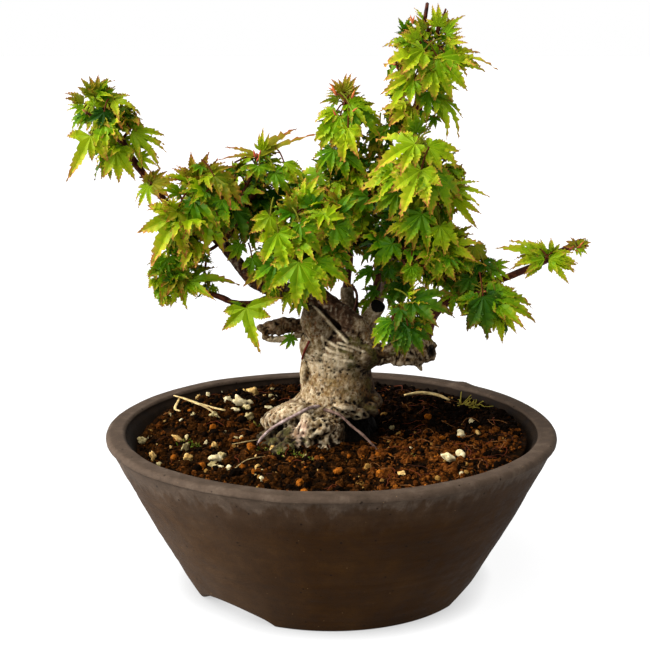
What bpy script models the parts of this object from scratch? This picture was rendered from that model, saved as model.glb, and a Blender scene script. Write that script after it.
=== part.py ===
"""Small potted maple bonsai: conical clay pot, soil, trunk, limbs and masses of foliage.

Frame: +Z up, origin on the floor under the middle of the round pot, the tree's front
towards -Y. All named sizes are in millimetres and are scaled to metres on the mesh.
"""
import math

import bmesh
import bpy
from mathutils import Vector, noise

MM = 0.001
NAME = "potted_maple_bonsai"

# ---------------------------------------------------------------- pot and soil
POT_RIM_R = 70.0          # outer radius at the lip
POT_H = 50.2              # floor to lip
POT_FOOT_R = 44.3         # outer radius at the floor
POT_WALL = 6.0            # wall measured level, at the lip
POT_LIP_ROUND = 1.4
POT_FOOT_RING = 8.0       # width of the foot ring
POT_FOOT_RECESS = 5.0     # height of the hollow inside the foot ring
POT_FLOOR_TOP = 10.5
POT_DRAIN_R = 6.5
POT_STEPS = 44
ARCH_AZIMUTHS = (-44.0, 76.0, 196.0)   # from the front, towards +X
ARCH_HEIGHT = 4.8
ARCH_CHORD = 31.0
SOIL_EDGE_Z = 44.4        # against the pot wall
SOIL_TOP_Z = 47.0         # flat bed under the trunk
SOIL_BED_R = 23.0
GAP = 0.3                 # clearance between touching solids

# ---------------------------------------------------------------- trunk
TRUNK_SIDES = 24
# height, centre x, centre y, half width, half depth
TRUNK_SECTIONS = (
    (47.3, -0.5, 0.0, 17.0, 15.0),
    (50.0, 0.0, 0.2, 15.6, 13.6),
    (53.5, 0.8, 0.5, 14.3, 12.6),
    (57.5, 1.6, 0.8, 13.0, 11.8),
    (62.0, 1.9, 1.0, 12.0, 11.2),
    (67.0, 1.2, 1.2, 11.5, 10.8),
    (71.5, 1.6, 1.4, 11.3, 10.4),
    (75.5, 2.2, 1.6, 11.2, 9.6),
    (79.0, 2.8, 1.8, 9.8, 8.0),
    (81.5, 3.0, 2.0, 6.4, 5.0),
)
# root flare: angle (0 = +X, 90 = back), reach beyond the section, angular width, top
ROOTS = (
    (196.0, 6.5, 20.0, 60.0),
    (238.0, 4.0, 16.0, 56.0),
    (266.0, 5.5, 17.0, 58.0),
    (318.0, 3.5, 20.0, 55.0),
    (4.0, 2.6, 20.0, 58.0),
    (62.0, 4.0, 18.0, 56.0),
    (128.0, 4.5, 20.0, 57.0),
)

# ---------------------------------------------------------------- limbs
# name: points the limb passes, end radii, sides, masses it ends in
LIMBS = (
    ("bough_left", ((1.0, 1.0, 74.0), (-4.5, -0.5, 89.0), (-15.0, -4.0, 93.5),
                    (-24.0, -6.0, 97.5), (-33.0, -7.5, 109.0)), 4.4, 1.6, 10, ("foliage_left",)),
    ("stub_left", ((-2.0, 2.0, 78.5), (-13.0, 2.5, 81.5), (-21.5, 2.0, 80.0)), 2.7, 1.9, 8, ()),
    ("stub_middle", ((5.5, 6.0, 76.0), (5.6, 8.0, 84.0), (4.6, 9.0, 92.0)), 2.7, 2.2, 8, ()),
    ("bough_cut", ((5.0, 1.0, 72.5), (10.0, 1.5, 80.5), (14.2, 2.0, 87.0)), 3.6, 2.3, 8, ()),
    ("leader_lower", ((12.0, 6.6, 79.0), (14.0, 7.6, 92.0), (15.4, 5.6, 108.0)), 1.7, 1.1, 7,
     ("foliage_back_right", "foliage_right_inner")),
    ("leader_upper", ((23.5, 3.5, 134.0), (25.0, 4.0, 142.0), (25.6, 3.6, 149.0)), 1.1, 0.9, 7,
     ("foliage_right_middle", "foliage_top_lower")),
    ("snag_top", ((27.0, 2.8, 168.0), (27.5, 2.2, 174.0), (28.2, 2.0, 179.0)), 0.8, 0.55, 6,
     ("foliage_top",)),
    ("stub_right", ((6.0, 0.0, 71.5), (19.0, -0.8, 72.2), (30.5, -1.0, 74.0)), 3.6, 3.3, 9, ()),
    ("bough_right", ((28.5, -0.5, 76.5), (31.5, 0.0, 85.5), (37.5, 0.8, 90.5), (47.0, 1.5, 92.5)),
     1.9, 1.2, 7, ("foliage_right_low_inner",)),
    ("bough_right_outer", ((47.0, 1.5, 94.0), (55.0, 0.0, 97.6), (66.0, -1.0, 102.5)), 1.2, 0.9, 7,
     ("foliage_right_low_inner", "foliage_right_tip")),
    ("shoot_left", ((-44.0, -5.0, 114.0), (-54.6, -1.0, 126.0), (-66.0, 0.0, 143.0)), 1.1, 0.8, 7,
     ("foliage_left", "foliage_left_top")),
    ("twig_left_low", ((-15.5, -5.6, 90.6), (-27.0, -6.0, 88.6), (-43.0, -6.0, 95.0)), 1.1, 0.7, 6,
     ("foliage_left_low",)),
    ("bough_right_end", ((66.0, -0.5, 103.0), (71.0, 2.5, 105.2), (77.0, 5.0, 107.5)), 0.9, 0.7, 6,
     ("foliage_right_tip", "foliage_right_bud")),
    ("twig_right_front", ((19.5, -1.5, 73.5), (21.5, -6.0, 78.5), (22.0, -15.0, 86.0)), 1.1, 0.8, 6,
     ("foliage_right_front",)),
    ("twig_right_low", ((38.0, 0.6, 90.2), (43.0, -2.0, 87.2), (48.0, -8.0, 87.2)), 0.9, 0.7, 6,
     ("foliage_right_low", "foliage_right_low_inner")),
    ("twig_left_leaf", ((-24.0, -5.6, 88.4), (-25.0, -8.0, 88.6), (-26.0, -11.0, 85.0)), 0.8, 0.6, 6,
     ("foliage_left_leaf",)),
    ("bough_back_left", ((0.0, 6.0, 76.0), (-6.0, 14.0, 84.0), (-14.0, 27.0, 98.0)), 2.4, 1.5, 7,
     ("foliage_back_low_left",)),
    ("bough_back_right", ((7.0, 8.0, 74.0), (15.0, 19.0, 86.0), (25.0, 30.0, 111.0)), 2.2, 1.4, 7,
     ("foliage_back_right",)),
)

# ---------------------------------------------------------------- foliage
# name: middle, half sizes, lobes as (angle in the front plane, reach), fineness
MASSES = (
    ("foliage_left_top", (-67, 0, 143), (8.5, 9, 11),
     ((145, 18), (190, 13), (228, 17), (-82, 19), (-58, 16), (-10, 18), (-32, 18), (20, 11),
      (60, 12), (92, 15), (120, 19)), 3),
    ("foliage_left_node", (-54, -7, 122), (5, 4, 3.6), ((125, 8), (228, 9), (178, 6), (5, 9)), 2),
    ("foliage_left", (-41, -8, 118), (11, 14, 13),
     ((-170, 13), (-128, 20), (-108, 15), (75, 18), (97, 15), (125, 16), (150, 13)), 3),
    ("foliage_left_inner", (-25, 6, 115), (10, 15, 12), ((-100, 12), (60, 12)), 3),
    ("foliage_left_low", (-44, -6, 97), (10, 8, 7),
     ((155, 13), (205, 13), (-135, 10), (-10, 13), (12, 13), (-92, 9)), 3),
    ("foliage_left_leaf", (-26, -11, 84), (5, 4, 3.4), ((200, 7), (225, 6), (-70, 13), (5, 9)), 2),
    ("foliage_upper_left", (-21, 4, 130), (12, 12, 6.4),
     ((155, 16), (92, 12), (47, 15), (28, 22), (-20, 15)), 3),
    ("foliage_middle_front", (-7, -16, 111), (12, 11, 14),
     ((-97, 24), (-117, 22), (-50, 19), (-150, 17), (85, 19), (25, 14)), 3),
    ("foliage_middle", (4, 7, 126), (11, 13, 10), ((75, 13), (160, 13), (5, 13)), 3),
    ("foliage_middle_low", (7, 2, 108), (8, 9, 8), ((-130, 10), (-20, 9), (-80, 9)), 2),
    ("foliage_spire", (5, 6, 145), (6, 7, 13),
     ((95, 14), (113, 14), (-8, 11), (-36, 14), (172, 12), (-122, 15)), 3),
    ("foliage_top", (27.5, 3, 165), (10, 10, 11),
     ((190, 14), (207, 15), (168, 14), (-7, 22), (-40, 18), (24, 13), (72, 14), (118, 12)), 3),
    ("foliage_top_lower", (25, 3, 149), (8.5, 8, 7),
     ((175, 12), (200, 11), (-38, 17), (-150, 13), (10, 11)), 3),
    ("foliage_right_middle", (26, -4, 128), (13, 14, 12),
     ((150, 14), (172, 16), (195, 17), (-125, 16), (-55, 14), (-17, 20), (-43, 24), (40, 15),
      (95, 14)), 3),
    ("foliage_right_inner", (19, -3, 107), (8, 9, 9), ((-110, 13), (120, 10)), 2),
    ("foliage_right_lower", (33.5, -6, 106), (11, 12, 9),
     ((12, 14), (48, 12), (-105, 13), (-140, 13), (-35, 12)), 3),
    ("foliage_right_front", (22, -16, 87), (9, 7, 8),
     ((40, 13), (0, 14), (-108, 12), (-70, 13), (-35, 10), (-142, 12), (150, 12)), 3),
    ("foliage_right_low", (48.5, -9, 87.5), (9.5, 8, 7),
     ((178, 12), (-120, 10), (-95, 10), (-70, 9), (-12, 15), (25, 12)), 3),
    ("foliage_right_low_inner", (44, 2, 95.5), (8, 8, 5), ((100, 7), (170, 10), (-150, 8)), 2),
    ("foliage_right_tip", (64, -1, 103), (10, 8, 3.4),
     ((175, 16), (140, 8), (75, 8), (-8, 13), (-28, 14)), 3),
    ("foliage_right_bud", (77, 5, 107.5), (3, 3, 2), ((-15, 4.4), (35, 4), (170, 5)), 2),
    ("foliage_back_left", (-32, 31, 113), (12, 14, 10), ((160, 14), (30, 14)), 3),
    ("foliage_back_middle", (-4, 37, 116), (13, 14, 11), ((110, 14), (-20, 15)), 2),
    ("foliage_back_right", (25, 31, 115), (12, 14, 12), ((20, 14), (120, 14)), 3),
    ("foliage_back_low_right", (36, 24, 98), (9, 11, 7), ((-10, 11), (-80, 9)), 2),
    ("foliage_back_low_left", (-14, 26, 97), (10, 11, 6), ((190, 12), (-60, 8)), 2),
)
DEPTH_LOBES = 6           # seeded lobes on each mass, towards its front and back
LOBE_WIDTH = 0.24         # radians
SNAP_ANGLE = {2: 0.25, 3: 0.15}   # radians, by fineness

COLOURS = {
    "clay": ((0.060, 0.045, 0.034), 0.8),
    "soil": ((0.060, 0.026, 0.012), 0.95),
    "bark": ((0.330, 0.250, 0.170), 0.85),
    "twig": ((0.120, 0.045, 0.025), 0.7),
    "leaf": ((0.150, 0.260, 0.030), 0.6),
}


def collection(name):
    c = bpy.data.collections.new(name)
    bpy.context.scene.collection.children.link(c)
    return c


def material(node, kind):
    colour, rough = COLOURS[kind]
    m = bpy.data.materials.new(node)
    m.use_nodes = True
    b = m.node_tree.nodes["Principled BSDF"]
    b.inputs["Base Color"].default_value = (*colour, 1.0)
    b.inputs["Roughness"].default_value = rough
    b.inputs["Metallic"].default_value = 0.0
    return m


def add(mesh, name, where, kind=None):
    ob = bpy.data.objects.new(name, mesh)
    where.objects.link(ob)
    if kind:
        mesh.materials.append(material(name, kind))
    else:
        ob.hide_render = True
        ob.display_type = "WIRE"
    return ob


def difference(ob, cutter):
    mod = ob.modifiers.new("cut_" + cutter.name, "BOOLEAN")
    mod.operation = "DIFFERENCE"
    mod.solver = "EXACT"
    mod.object = cutter


def turned(name, profile, steps, where, kind, closed):
    """A profile of (radius, height) turned about Z."""
    bm = bmesh.new()
    vs = [bm.verts.new((r * MM, 0.0, z * MM)) for r, z in profile]
    for a, b in zip(vs, vs[1:]):
        bm.edges.new((a, b))
    if closed:
        bm.edges.new((vs[-1], vs[0]))
    me = bpy.data.meshes.new(name)
    bm.to_mesh(me)
    bm.free()
    ob = add(me, name, where, kind)
    mod = ob.modifiers.new("turn", "SCREW")
    mod.axis = "Z"
    mod.angle = 2 * math.pi
    mod.steps = steps
    mod.render_steps = steps
    mod.use_merge_vertices = True
    mod.merge_threshold = 0.00005
    mod.use_smooth_shade = True
    return ob


def pot_inner_radius(z):
    slope = (POT_RIM_R - POT_FOOT_R) / POT_H
    return POT_RIM_R - POT_WALL - (POT_H - z) * slope * 1.02


def make_pot(where, cutters):
    r, e = POT_LIP_ROUND, 0.6
    inner_floor = pot_inner_radius(POT_FLOOR_TOP + 1.5)
    ring_in = POT_FOOT_R - POT_FOOT_RING
    profile = [
        (POT_RIM_R - r, POT_H),
        (POT_RIM_R - 0.35 * r, POT_H - 0.35 * r),
        (POT_RIM_R, POT_H - r),
        (POT_FOOT_R + 0.3, e),
        (POT_FOOT_R - e, 0.0),
        (ring_in + e, 0.0),
        (ring_in, e),
        (ring_in - 0.8, POT_FOOT_RECESS),
        (POT_DRAIN_R, POT_FOOT_RECESS),
        (POT_DRAIN_R, POT_FLOOR_TOP),
        (inner_floor - 1.5, POT_FLOOR_TOP),
        (inner_floor, POT_FLOOR_TOP + 1.5),
        (pot_inner_radius(POT_H - r), POT_H - r),
        (pot_inner_radius(POT_H) + r, POT_H),
    ]
    pot = turned("pot", profile, POT_STEPS, where, "clay", True)
    radius = ((ARCH_CHORD / 2) ** 2 + ARCH_HEIGHT ** 2) / (2 * ARCH_HEIGHT)
    for i, az in enumerate(ARCH_AZIMUTHS):
        a = math.radians(az)
        out = Vector((math.sin(a), -math.cos(a), 0.0))
        bm = bmesh.new()
        bmesh.ops.create_cone(bm, cap_ends=True, segments=48, radius1=radius * MM,
                              radius2=radius * MM, depth=30.0 * MM)
        me = bpy.data.meshes.new(f"arch_{i}")
        bm.to_mesh(me)
        bm.free()
        arch = add(me, f"arch_{i}", cutters)
        arch.rotation_mode = "QUATERNION"
        arch.rotation_quaternion = out.to_track_quat("Z", "Y")
        middle = out * (POT_FOOT_R + 1.5) * MM
        middle.z = (ARCH_HEIGHT - radius) * MM
        arch.location = middle
        difference(pot, arch)
    return pot


def make_soil(where):
    floor_z = POT_FLOOR_TOP + GAP
    low = pot_inner_radius(floor_z + 1.8) - GAP * 1.6
    profile = [(0.0, SOIL_TOP_Z), (SOIL_BED_R, SOIL_TOP_Z)]
    edge = pot_inner_radius(SOIL_EDGE_Z) - GAP * 1.6
    for k in (0.30, 0.65):
        r = SOIL_BED_R + (edge - SOIL_BED_R) * k
        profile.append((r, SOIL_TOP_Z + (SOIL_EDGE_Z - SOIL_TOP_Z) * math.sin(k * math.pi / 2)))
    profile += [(edge, SOIL_EDGE_Z), (low, floor_z + 1.8), (low - 1.8, floor_z), (0.0, floor_z)]
    return turned("soil", profile, 32, where, "soil", False)


def trunk_radius(angle, z, wide, deep):
    """Reach of the trunk's outline from its centreline at one height."""
    c, s = math.cos(angle), math.sin(angle)
    r = 1.0 / math.sqrt((c / wide) ** 2 + (s / deep) ** 2)
    for root, reach, width, top in ROOTS:
        d = (math.degrees(angle) - root + 180.0) % 360.0 - 180.0
        fall = max(0.0, (top - z) / (top - TRUNK_SECTIONS[0][0]))
        r += reach * fall ** 1.4 * math.exp(-(d / width) ** 2)
    return r * (1.0 + 0.05 * noise.noise(Vector((c * 1.7, s * 1.7, z * 0.16))))


def make_trunk(where):
    bm = bmesh.new()
    rings = []
    for z, x, y, wide, deep in TRUNK_SECTIONS:
        ring = []
        for k in range(TRUNK_SIDES):
            a = 2 * math.pi * k / TRUNK_SIDES
            r = trunk_radius(a, z, wide, deep)
            ring.append(bm.verts.new(((x + r * math.cos(a)) * MM, (y + r * math.sin(a)) * MM, z * MM)))
        rings.append(ring)
    for low, high in zip(rings, rings[1:]):
        for k in range(TRUNK_SIDES):
            n = (k + 1) % TRUNK_SIDES
            bm.faces.new((low[k], low[n], high[n], high[k]))
    bm.faces.new(rings[0][::-1])
    bm.faces.new(rings[-1])
    bmesh.ops.triangulate(bm, faces=[f for f in bm.faces if len(f.verts) == 4])
    me = bpy.data.meshes.new("trunk")
    bm.to_mesh(me)
    bm.free()
    return add(me, "trunk", where, "bark")


def smooth_path(points, per_span):
    """A curve through the points, as evenly parted positions."""
    pts = [Vector(p) for p in points]
    pts = [pts[0] * 2 - pts[1]] + pts + [pts[-1] * 2 - pts[-2]]
    out = []
    for i in range(1, len(pts) - 2):
        a, b, c, d = pts[i - 1:i + 3]
        for k in range(per_span):
            t = k / per_span
            out.append(0.5 * ((2 * b) + (c - a) * t + (2 * a - 5 * b + 4 * c - d) * t ** 2
                              + (3 * b - a - 3 * c + d) * t ** 3))
    out.append(pts[-2])
    return out


def limb_mesh(name, points, r0, r1, sides, grow=0.0):
    """A tapering limb as a closed mesh, made from a bevelled poly curve."""
    path = smooth_path(points, 3 if sides > 7 else 2)
    cu = bpy.data.curves.new(name, "CURVE")
    cu.dimensions = "3D"
    cu.bevel_depth = MM
    cu.bevel_resolution = max(0, (sides - 4) // 2)
    cu.use_fill_caps = True
    sp = cu.splines.new("POLY")
    sp.points.add(len(path) - 1)
    total = len(path) - 1
    path[0] = path[0] + (path[0] - path[1]).normalized() * grow
    path[-1] = path[-1] + (path[-1] - path[-2]).normalized() * grow
    for i, p in enumerate(path):
        t = i / total
        sp.points[i].co = (p.x * MM, p.y * MM, p.z * MM, 1.0)
        sp.points[i].radius = r0 + (r1 - r0) * t ** 0.8 + grow
    ob = bpy.data.objects.new(name + "_curve", cu)
    bpy.context.scene.collection.objects.link(ob)
    bpy.context.view_layer.update()
    me = bpy.data.meshes.new_from_object(ob.evaluated_get(bpy.context.evaluated_depsgraph_get()))
    me.name = name
    bpy.data.objects.remove(ob)
    bpy.data.curves.remove(cu)
    bm = bmesh.new()
    bm.from_mesh(me)
    bmesh.ops.remove_doubles(bm, verts=bm.verts, dist=0.000002)
    bmesh.ops.recalc_face_normals(bm, faces=bm.faces)
    bm.to_mesh(me)
    bm.free()
    me.materials.clear()
    return me


def cell_limit(index, direction):
    """How far a mass may reach before the plane it shares with each other mass."""
    c, h = Vector(MASSES[index][1]), MASSES[index][2]
    size = (h[0] * h[1] * h[2]) ** (1 / 3)
    limit = 1e9
    for j, other in enumerate(MASSES):
        if j == index:
            continue
        o, k = Vector(other[1]), other[2]
        across = o - c
        gap = across.length
        if gap > 60:
            continue
        oth = (k[0] * k[1] * k[2]) ** (1 / 3)
        plane = (gap * gap + size * size - oth * oth) / (2 * gap) - GAP * 0.6
        along = direction.dot(across / gap)
        if along > 1e-4:
            limit = min(limit, plane / along)
    return limit


def mass_mesh(index, grow=0.0):
    name, middle, half, lobes, fine = MASSES[index]
    c, h = Vector(middle), Vector(half)
    bm = bmesh.new()
    bmesh.ops.create_icosphere(bm, subdivisions=fine, radius=1.0)
    bm.verts.ensure_lookup_table()
    dirs = [v.co.normalized() for v in bm.verts]

    def body(d):
        r = 1.0 / math.sqrt((d.x / h.x) ** 2 + (d.y / h.y) ** 2 + (d.z / h.z) ** 2)
        return r * (1.0 + 0.20 * noise.noise(d * 1.9 + Vector((index * 3.7, 0.3, 0.8))))

    tips = []
    for angle, reach in lobes:
        a = math.radians(angle)
        lean = 0.12 * math.sin(angle * 7.0 + index)
        tips.append((Vector((math.cos(a), lean, math.sin(a))).normalized(), float(reach)))
    for k in range(DEPTH_LOBES):
        a = (index * 2.399 + k * 2.9) % (2 * math.pi)
        side = -1.0 if k % 2 else 1.0
        d = Vector((0.62 * math.cos(a), side, 0.62 * math.sin(a))).normalized()
        tips.append((d, body(d) * (1.16 + 0.14 * math.sin(k * 1.7 + index))))
    taken = set()
    for d, reach in tips:
        near = max(range(len(dirs)), key=lambda i: dirs[i].dot(d))
        # a vertex only shifts a little way, so that no face folds over its neighbour
        if near not in taken and dirs[near].angle(d) < SNAP_ANGLE[fine]:
            taken.add(near)
            dirs[near] = d
    for i, v in enumerate(bm.verts):
        d = dirs[i]
        r = body(d)
        add_up = 0.0
        for t, reach in tips:
            off = math.acos(max(-1.0, min(1.0, d.dot(t))))
            add_up = max(add_up, (reach - body(t)) * math.exp(-(off / LOBE_WIDTH) ** 2))
        r = min(r + add_up, cell_limit(index, d)) + grow
        v.co = (c + d * r) * MM
    bmesh.ops.recalc_face_normals(bm, faces=bm.faces)
    me = bpy.data.meshes.new(name)
    bm.to_mesh(me)
    bm.free()
    return me


def main():
    for ob in list(bpy.data.objects):
        bpy.data.objects.remove(ob, do_unlink=True)
    parts = collection(NAME)
    cutters = collection("cutters")

    make_pot(parts, cutters)
    make_soil(parts)
    trunk = make_trunk(parts)

    # the trunk, swelled by the clearance, cuts the foot of every limb that leaves it
    core = trunk.data.copy()
    bm = bmesh.new()
    bm.from_mesh(core)
    bm.normal_update()
    moves = [(v, v.normal.copy()) for v in bm.verts]
    for v, n in moves:
        v.co += n * (GAP + 0.1) * MM
    bm.to_mesh(core)
    bm.free()
    trunk_cut = add(core, "swelled_trunk", cutters)

    index_of = {m[0]: i for i, m in enumerate(MASSES)}
    mass_cut = {}
    limb_cut = {}
    limbs = {}

    def cut_of_mass(name):
        if name not in mass_cut:
            mass_cut[name] = add(mass_mesh(index_of[name], 0.5), "swelled_" + name, cutters)
        return mass_cut[name]

    spec = {row[0]: row for row in LIMBS}

    def cut_of_limb(name):
        if name not in limb_cut:
            _, pts, r0, r1, sides, _ = spec[name]
            limb_cut[name] = add(limb_mesh("swelled_" + name, pts, r0, r1, sides, GAP + 0.1),
                                 "swelled_" + name, cutters)
        return limb_cut[name]

    from_trunk = {"bough_left", "stub_left", "stub_middle", "bough_cut", "stub_right",
                  "leader_lower", "bough_back_left", "bough_back_right"}
    cut_by_limb = {
        "stub_left": ("bough_left",),
        "stub_middle": ("bough_left", "bough_cut"),
        "leader_lower": ("bough_cut", "stub_right"),
        "bough_cut": ("stub_right",),
        "stub_right": ("bough_left",),
        "bough_right": ("stub_right",),
        "twig_left_low": ("bough_left",),
        "twig_left_leaf": ("twig_left_low",),
        "twig_right_front": ("stub_right",),
        "twig_right_low": ("bough_right",),
        "bough_back_left": ("bough_left",),
    }
    for name, pts, r0, r1, sides, ends in LIMBS:
        kind = "twig" if r0 < 2.0 else "bark"
        ob = add(limb_mesh(name, pts, r0, r1, sides), name, parts, kind)
        limbs[name] = ob
        if name in from_trunk:
            difference(ob, trunk_cut)
        for other in cut_by_limb.get(name, ()):
            difference(ob, cut_of_limb(other))
        for mass in ends:
            difference(ob, cut_of_mass(mass))

    for i, row in enumerate(MASSES):
        add(mass_mesh(i), row[0], parts, "leaf")


main()
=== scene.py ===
import math

import bpy
import numpy as np
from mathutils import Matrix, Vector


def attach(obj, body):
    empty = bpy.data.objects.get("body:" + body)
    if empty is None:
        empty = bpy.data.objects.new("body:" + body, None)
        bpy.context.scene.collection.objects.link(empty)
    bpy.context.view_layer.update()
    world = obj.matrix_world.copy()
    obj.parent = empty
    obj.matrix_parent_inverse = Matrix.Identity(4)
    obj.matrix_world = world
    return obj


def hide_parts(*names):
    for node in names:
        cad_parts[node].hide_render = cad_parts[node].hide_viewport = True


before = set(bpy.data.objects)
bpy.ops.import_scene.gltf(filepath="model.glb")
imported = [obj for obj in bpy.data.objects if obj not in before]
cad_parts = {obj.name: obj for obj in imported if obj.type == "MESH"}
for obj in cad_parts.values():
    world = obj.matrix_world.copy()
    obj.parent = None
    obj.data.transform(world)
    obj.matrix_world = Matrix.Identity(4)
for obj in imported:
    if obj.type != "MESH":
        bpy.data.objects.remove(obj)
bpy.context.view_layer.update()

MM = 0.001
scene = bpy.context.scene


# =============================================================== small maths
def rng_of(*key):
    return np.random.default_rng([int(abs(k) * 1000) % 2147483647 for k in key])


def unit(v):
    v = np.asarray(v, float)
    n = np.linalg.norm(v, axis=-1, keepdims=True)
    return v / np.maximum(n, 1e-12)


def _hash(ix, iy, iz, seed):
    h = (ix.astype(np.int64) * 374761393 + iy.astype(np.int64) * 668265263
         + iz.astype(np.int64) * 1274126177 + seed * 951274213) & 0xFFFFFFFF
    h = ((h ^ (h >> 13)) * 1274126177) & 0xFFFFFFFF
    h = ((h ^ (h >> 16)) * 2246822519) & 0xFFFFFFFF
    return ((h ^ (h >> 15)) & 0xFFFFFF) / float(0xFFFFFF)


def noise3(p, seed=0):
    """Smooth value noise in -1..1 at the points p."""
    p = np.asarray(p, float)
    i = np.floor(p)
    f = p - i
    f = f * f * f * (f * (f * 6 - 15) + 10)
    ix, iy, iz = (i[..., k].astype(np.int64) for k in range(3))
    out = 0.0
    for dx in (0, 1):
        wx = f[..., 0] if dx else 1 - f[..., 0]
        for dy in (0, 1):
            wy = f[..., 1] if dy else 1 - f[..., 1]
            for dz in (0, 1):
                wz = f[..., 2] if dz else 1 - f[..., 2]
                out = out + wx * wy * wz * _hash(ix + dx, iy + dy, iz + dz, seed)
    return out * 2 - 1


def fbm(p, octaves=4, seed=0, gain=0.5):
    out, amp, tot = 0.0, 1.0, 0.0
    p = np.asarray(p, float)
    for k in range(octaves):
        out = out + amp * noise3(p * 2.03 ** k + 13.7 * k, seed + k)
        tot += amp
        amp *= gain
    return out / tot


def cells(p, seed=0):
    """Distance to the nearest scattered point, one to a unit cell."""
    p = np.asarray(p, float)
    i = np.floor(p).astype(np.int64)
    best = np.full(p.shape[:-1], 9.0)
    for dx in (-1, 0, 1):
        for dy in (-1, 0, 1):
            for dz in (-1, 0, 1):
                c = i + np.array([dx, dy, dz])
                q = np.stack([_hash(c[..., 0], c[..., 1], c[..., 2], seed + s) for s in (1, 2, 3)], -1)
                best = np.minimum(best, np.linalg.norm(c + q - p, axis=-1))
    return best


def smooth_path(points, per_span=6):
    """A smooth curve through the points."""
    pts = np.asarray(points, float)
    if len(pts) == 2:
        t = np.linspace(0, 1, per_span + 1)[:, None]
        return pts[0] * (1 - t) + pts[1] * t
    pts = np.vstack([pts[0] * 2 - pts[1], pts, pts[-1] * 2 - pts[-2]])
    out = []
    for i in range(1, len(pts) - 2):
        a, b, c, d = pts[i - 1:i + 3]
        for k in range(per_span):
            t = k / per_span
            out.append(0.5 * ((2 * b) + (c - a) * t + (2 * a - 5 * b + 4 * c - d) * t ** 2
                              + (3 * b - a - 3 * c + d) * t ** 3))
    out.append(pts[-2])
    return np.array(out)


# =============================================================== meshes
class Build:
    """Collects triangles and quads, with a material index each, for one mesh."""

    def __init__(self):
        self.v, self.f3, self.f4, self.m3, self.m4, self.n = [], [], [], [], [], 0

    def add(self, verts, tris=None, quads=None, mat3=0, mat4=0):
        verts = np.asarray(verts, float).reshape(-1, 3)
        if tris is not None and len(tris):
            tris = np.asarray(tris, int)
            self.f3.append(tris + self.n)
            self.m3.append(np.broadcast_to(mat3, (len(tris),)).astype(int))
        if quads is not None and len(quads):
            quads = np.asarray(quads, int)
            self.f4.append(quads + self.n)
            self.m4.append(np.broadcast_to(mat4, (len(quads),)).astype(int))
        self.v.append(verts)
        self.n += len(verts)

    def triangles(self):
        return sum(map(len, self.f3)) + 2 * sum(map(len, self.f4))

    def mesh(self, name, materials, smooth=True):
        v = np.concatenate(self.v) * MM
        f3 = np.concatenate(self.f3) if self.f3 else np.zeros((0, 3), int)
        f4 = np.concatenate(self.f4) if self.f4 else np.zeros((0, 4), int)
        me = bpy.data.meshes.new(name)
        me.vertices.add(len(v))
        me.vertices.foreach_set("co", v.astype(np.float32).ravel())
        me.loops.add(f3.size + f4.size)
        me.loops.foreach_set("vertex_index", np.concatenate([f3.ravel(), f4.ravel()]).astype(np.int32))
        me.polygons.add(len(f3) + len(f4))
        start = np.concatenate([np.arange(len(f3)) * 3, f3.size + np.arange(len(f4)) * 4])
        me.polygons.foreach_set("loop_start", start.astype(np.int32))
        mats = np.concatenate([np.concatenate(self.m3) if self.m3 else np.zeros(0, int),
                               np.concatenate(self.m4) if self.m4 else np.zeros(0, int)])
        me.polygons.foreach_set("material_index", mats.astype(np.int32))
        me.update(calc_edges=True)
        me.polygons.foreach_set("use_smooth", np.full(len(me.polygons), smooth))
        for m in materials:
            me.materials.append(m)
        return me


def place(name, mesh, replaces=()):
    ob = bpy.data.objects.new(name, mesh)
    scene.collection.objects.link(ob)
    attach(ob, "root")
    if replaces:
        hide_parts(*replaces)
    return ob


def frames_along(path):
    """Tangent, side and normal at each point, with the least turning."""
    t = unit(np.gradient(path, axis=0))
    ref = np.array([0.0, 0.0, 1.0]) if abs(t[0][2]) < 0.9 else np.array([1.0, 0.0, 0.0])
    s = unit(np.cross(t[0], ref))
    side = [s]
    for k in range(1, len(path)):
        s = s - t[k] * np.dot(s, t[k])
        s = unit(s)
        side.append(s)
    side = np.array(side)
    return t, side, np.cross(t, side)


def tube(path, radii, sides=8, cap=True, squash=None):
    """A round limb along the path: vertices, triangles, quads."""
    path = np.asarray(path, float)
    radii = np.broadcast_to(np.asarray(radii, float), (len(path),))
    _, s, n = frames_along(path)
    a = np.arange(sides) * 2 * np.pi / sides
    ring = np.cos(a)[None, :, None] * s[:, None, :] + np.sin(a)[None, :, None] * n[:, None, :]
    v = (path[:, None, :] + ring * radii[:, None, None]).reshape(-1, 3)
    k = np.arange(sides)
    nxt = (k + 1) % sides
    rows = np.arange(len(path) - 1)[:, None] * sides
    quads = np.stack([rows + k, rows + nxt, rows + sides + nxt, rows + sides + k], -1).reshape(-1, 4)
    tris = np.zeros((0, 3), int)
    if cap:
        t0, t1 = unit(path[0] - path[1]), unit(path[-1] - path[-2])
        v = np.vstack([v, path[0] + t0 * radii[0] * 0.5, path[-1] + t1 * radii[-1] * 0.5])
        b, e, last = len(v) - 2, len(v) - 1, (len(path) - 1) * sides
        tris = np.vstack([np.stack([np.full(sides, b), nxt, k], -1),
                          np.stack([np.full(sides, e), last + k, last + nxt], -1)])
    return v, tris, quads


# =============================================================== materials
def lin(c):
    """Linear colour from 0-255 display values."""
    return tuple((x / 255 / 12.92) if x / 255 <= 0.04045 else ((x / 255 + 0.055) / 1.055) ** 2.4
                 for x in c)


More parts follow.
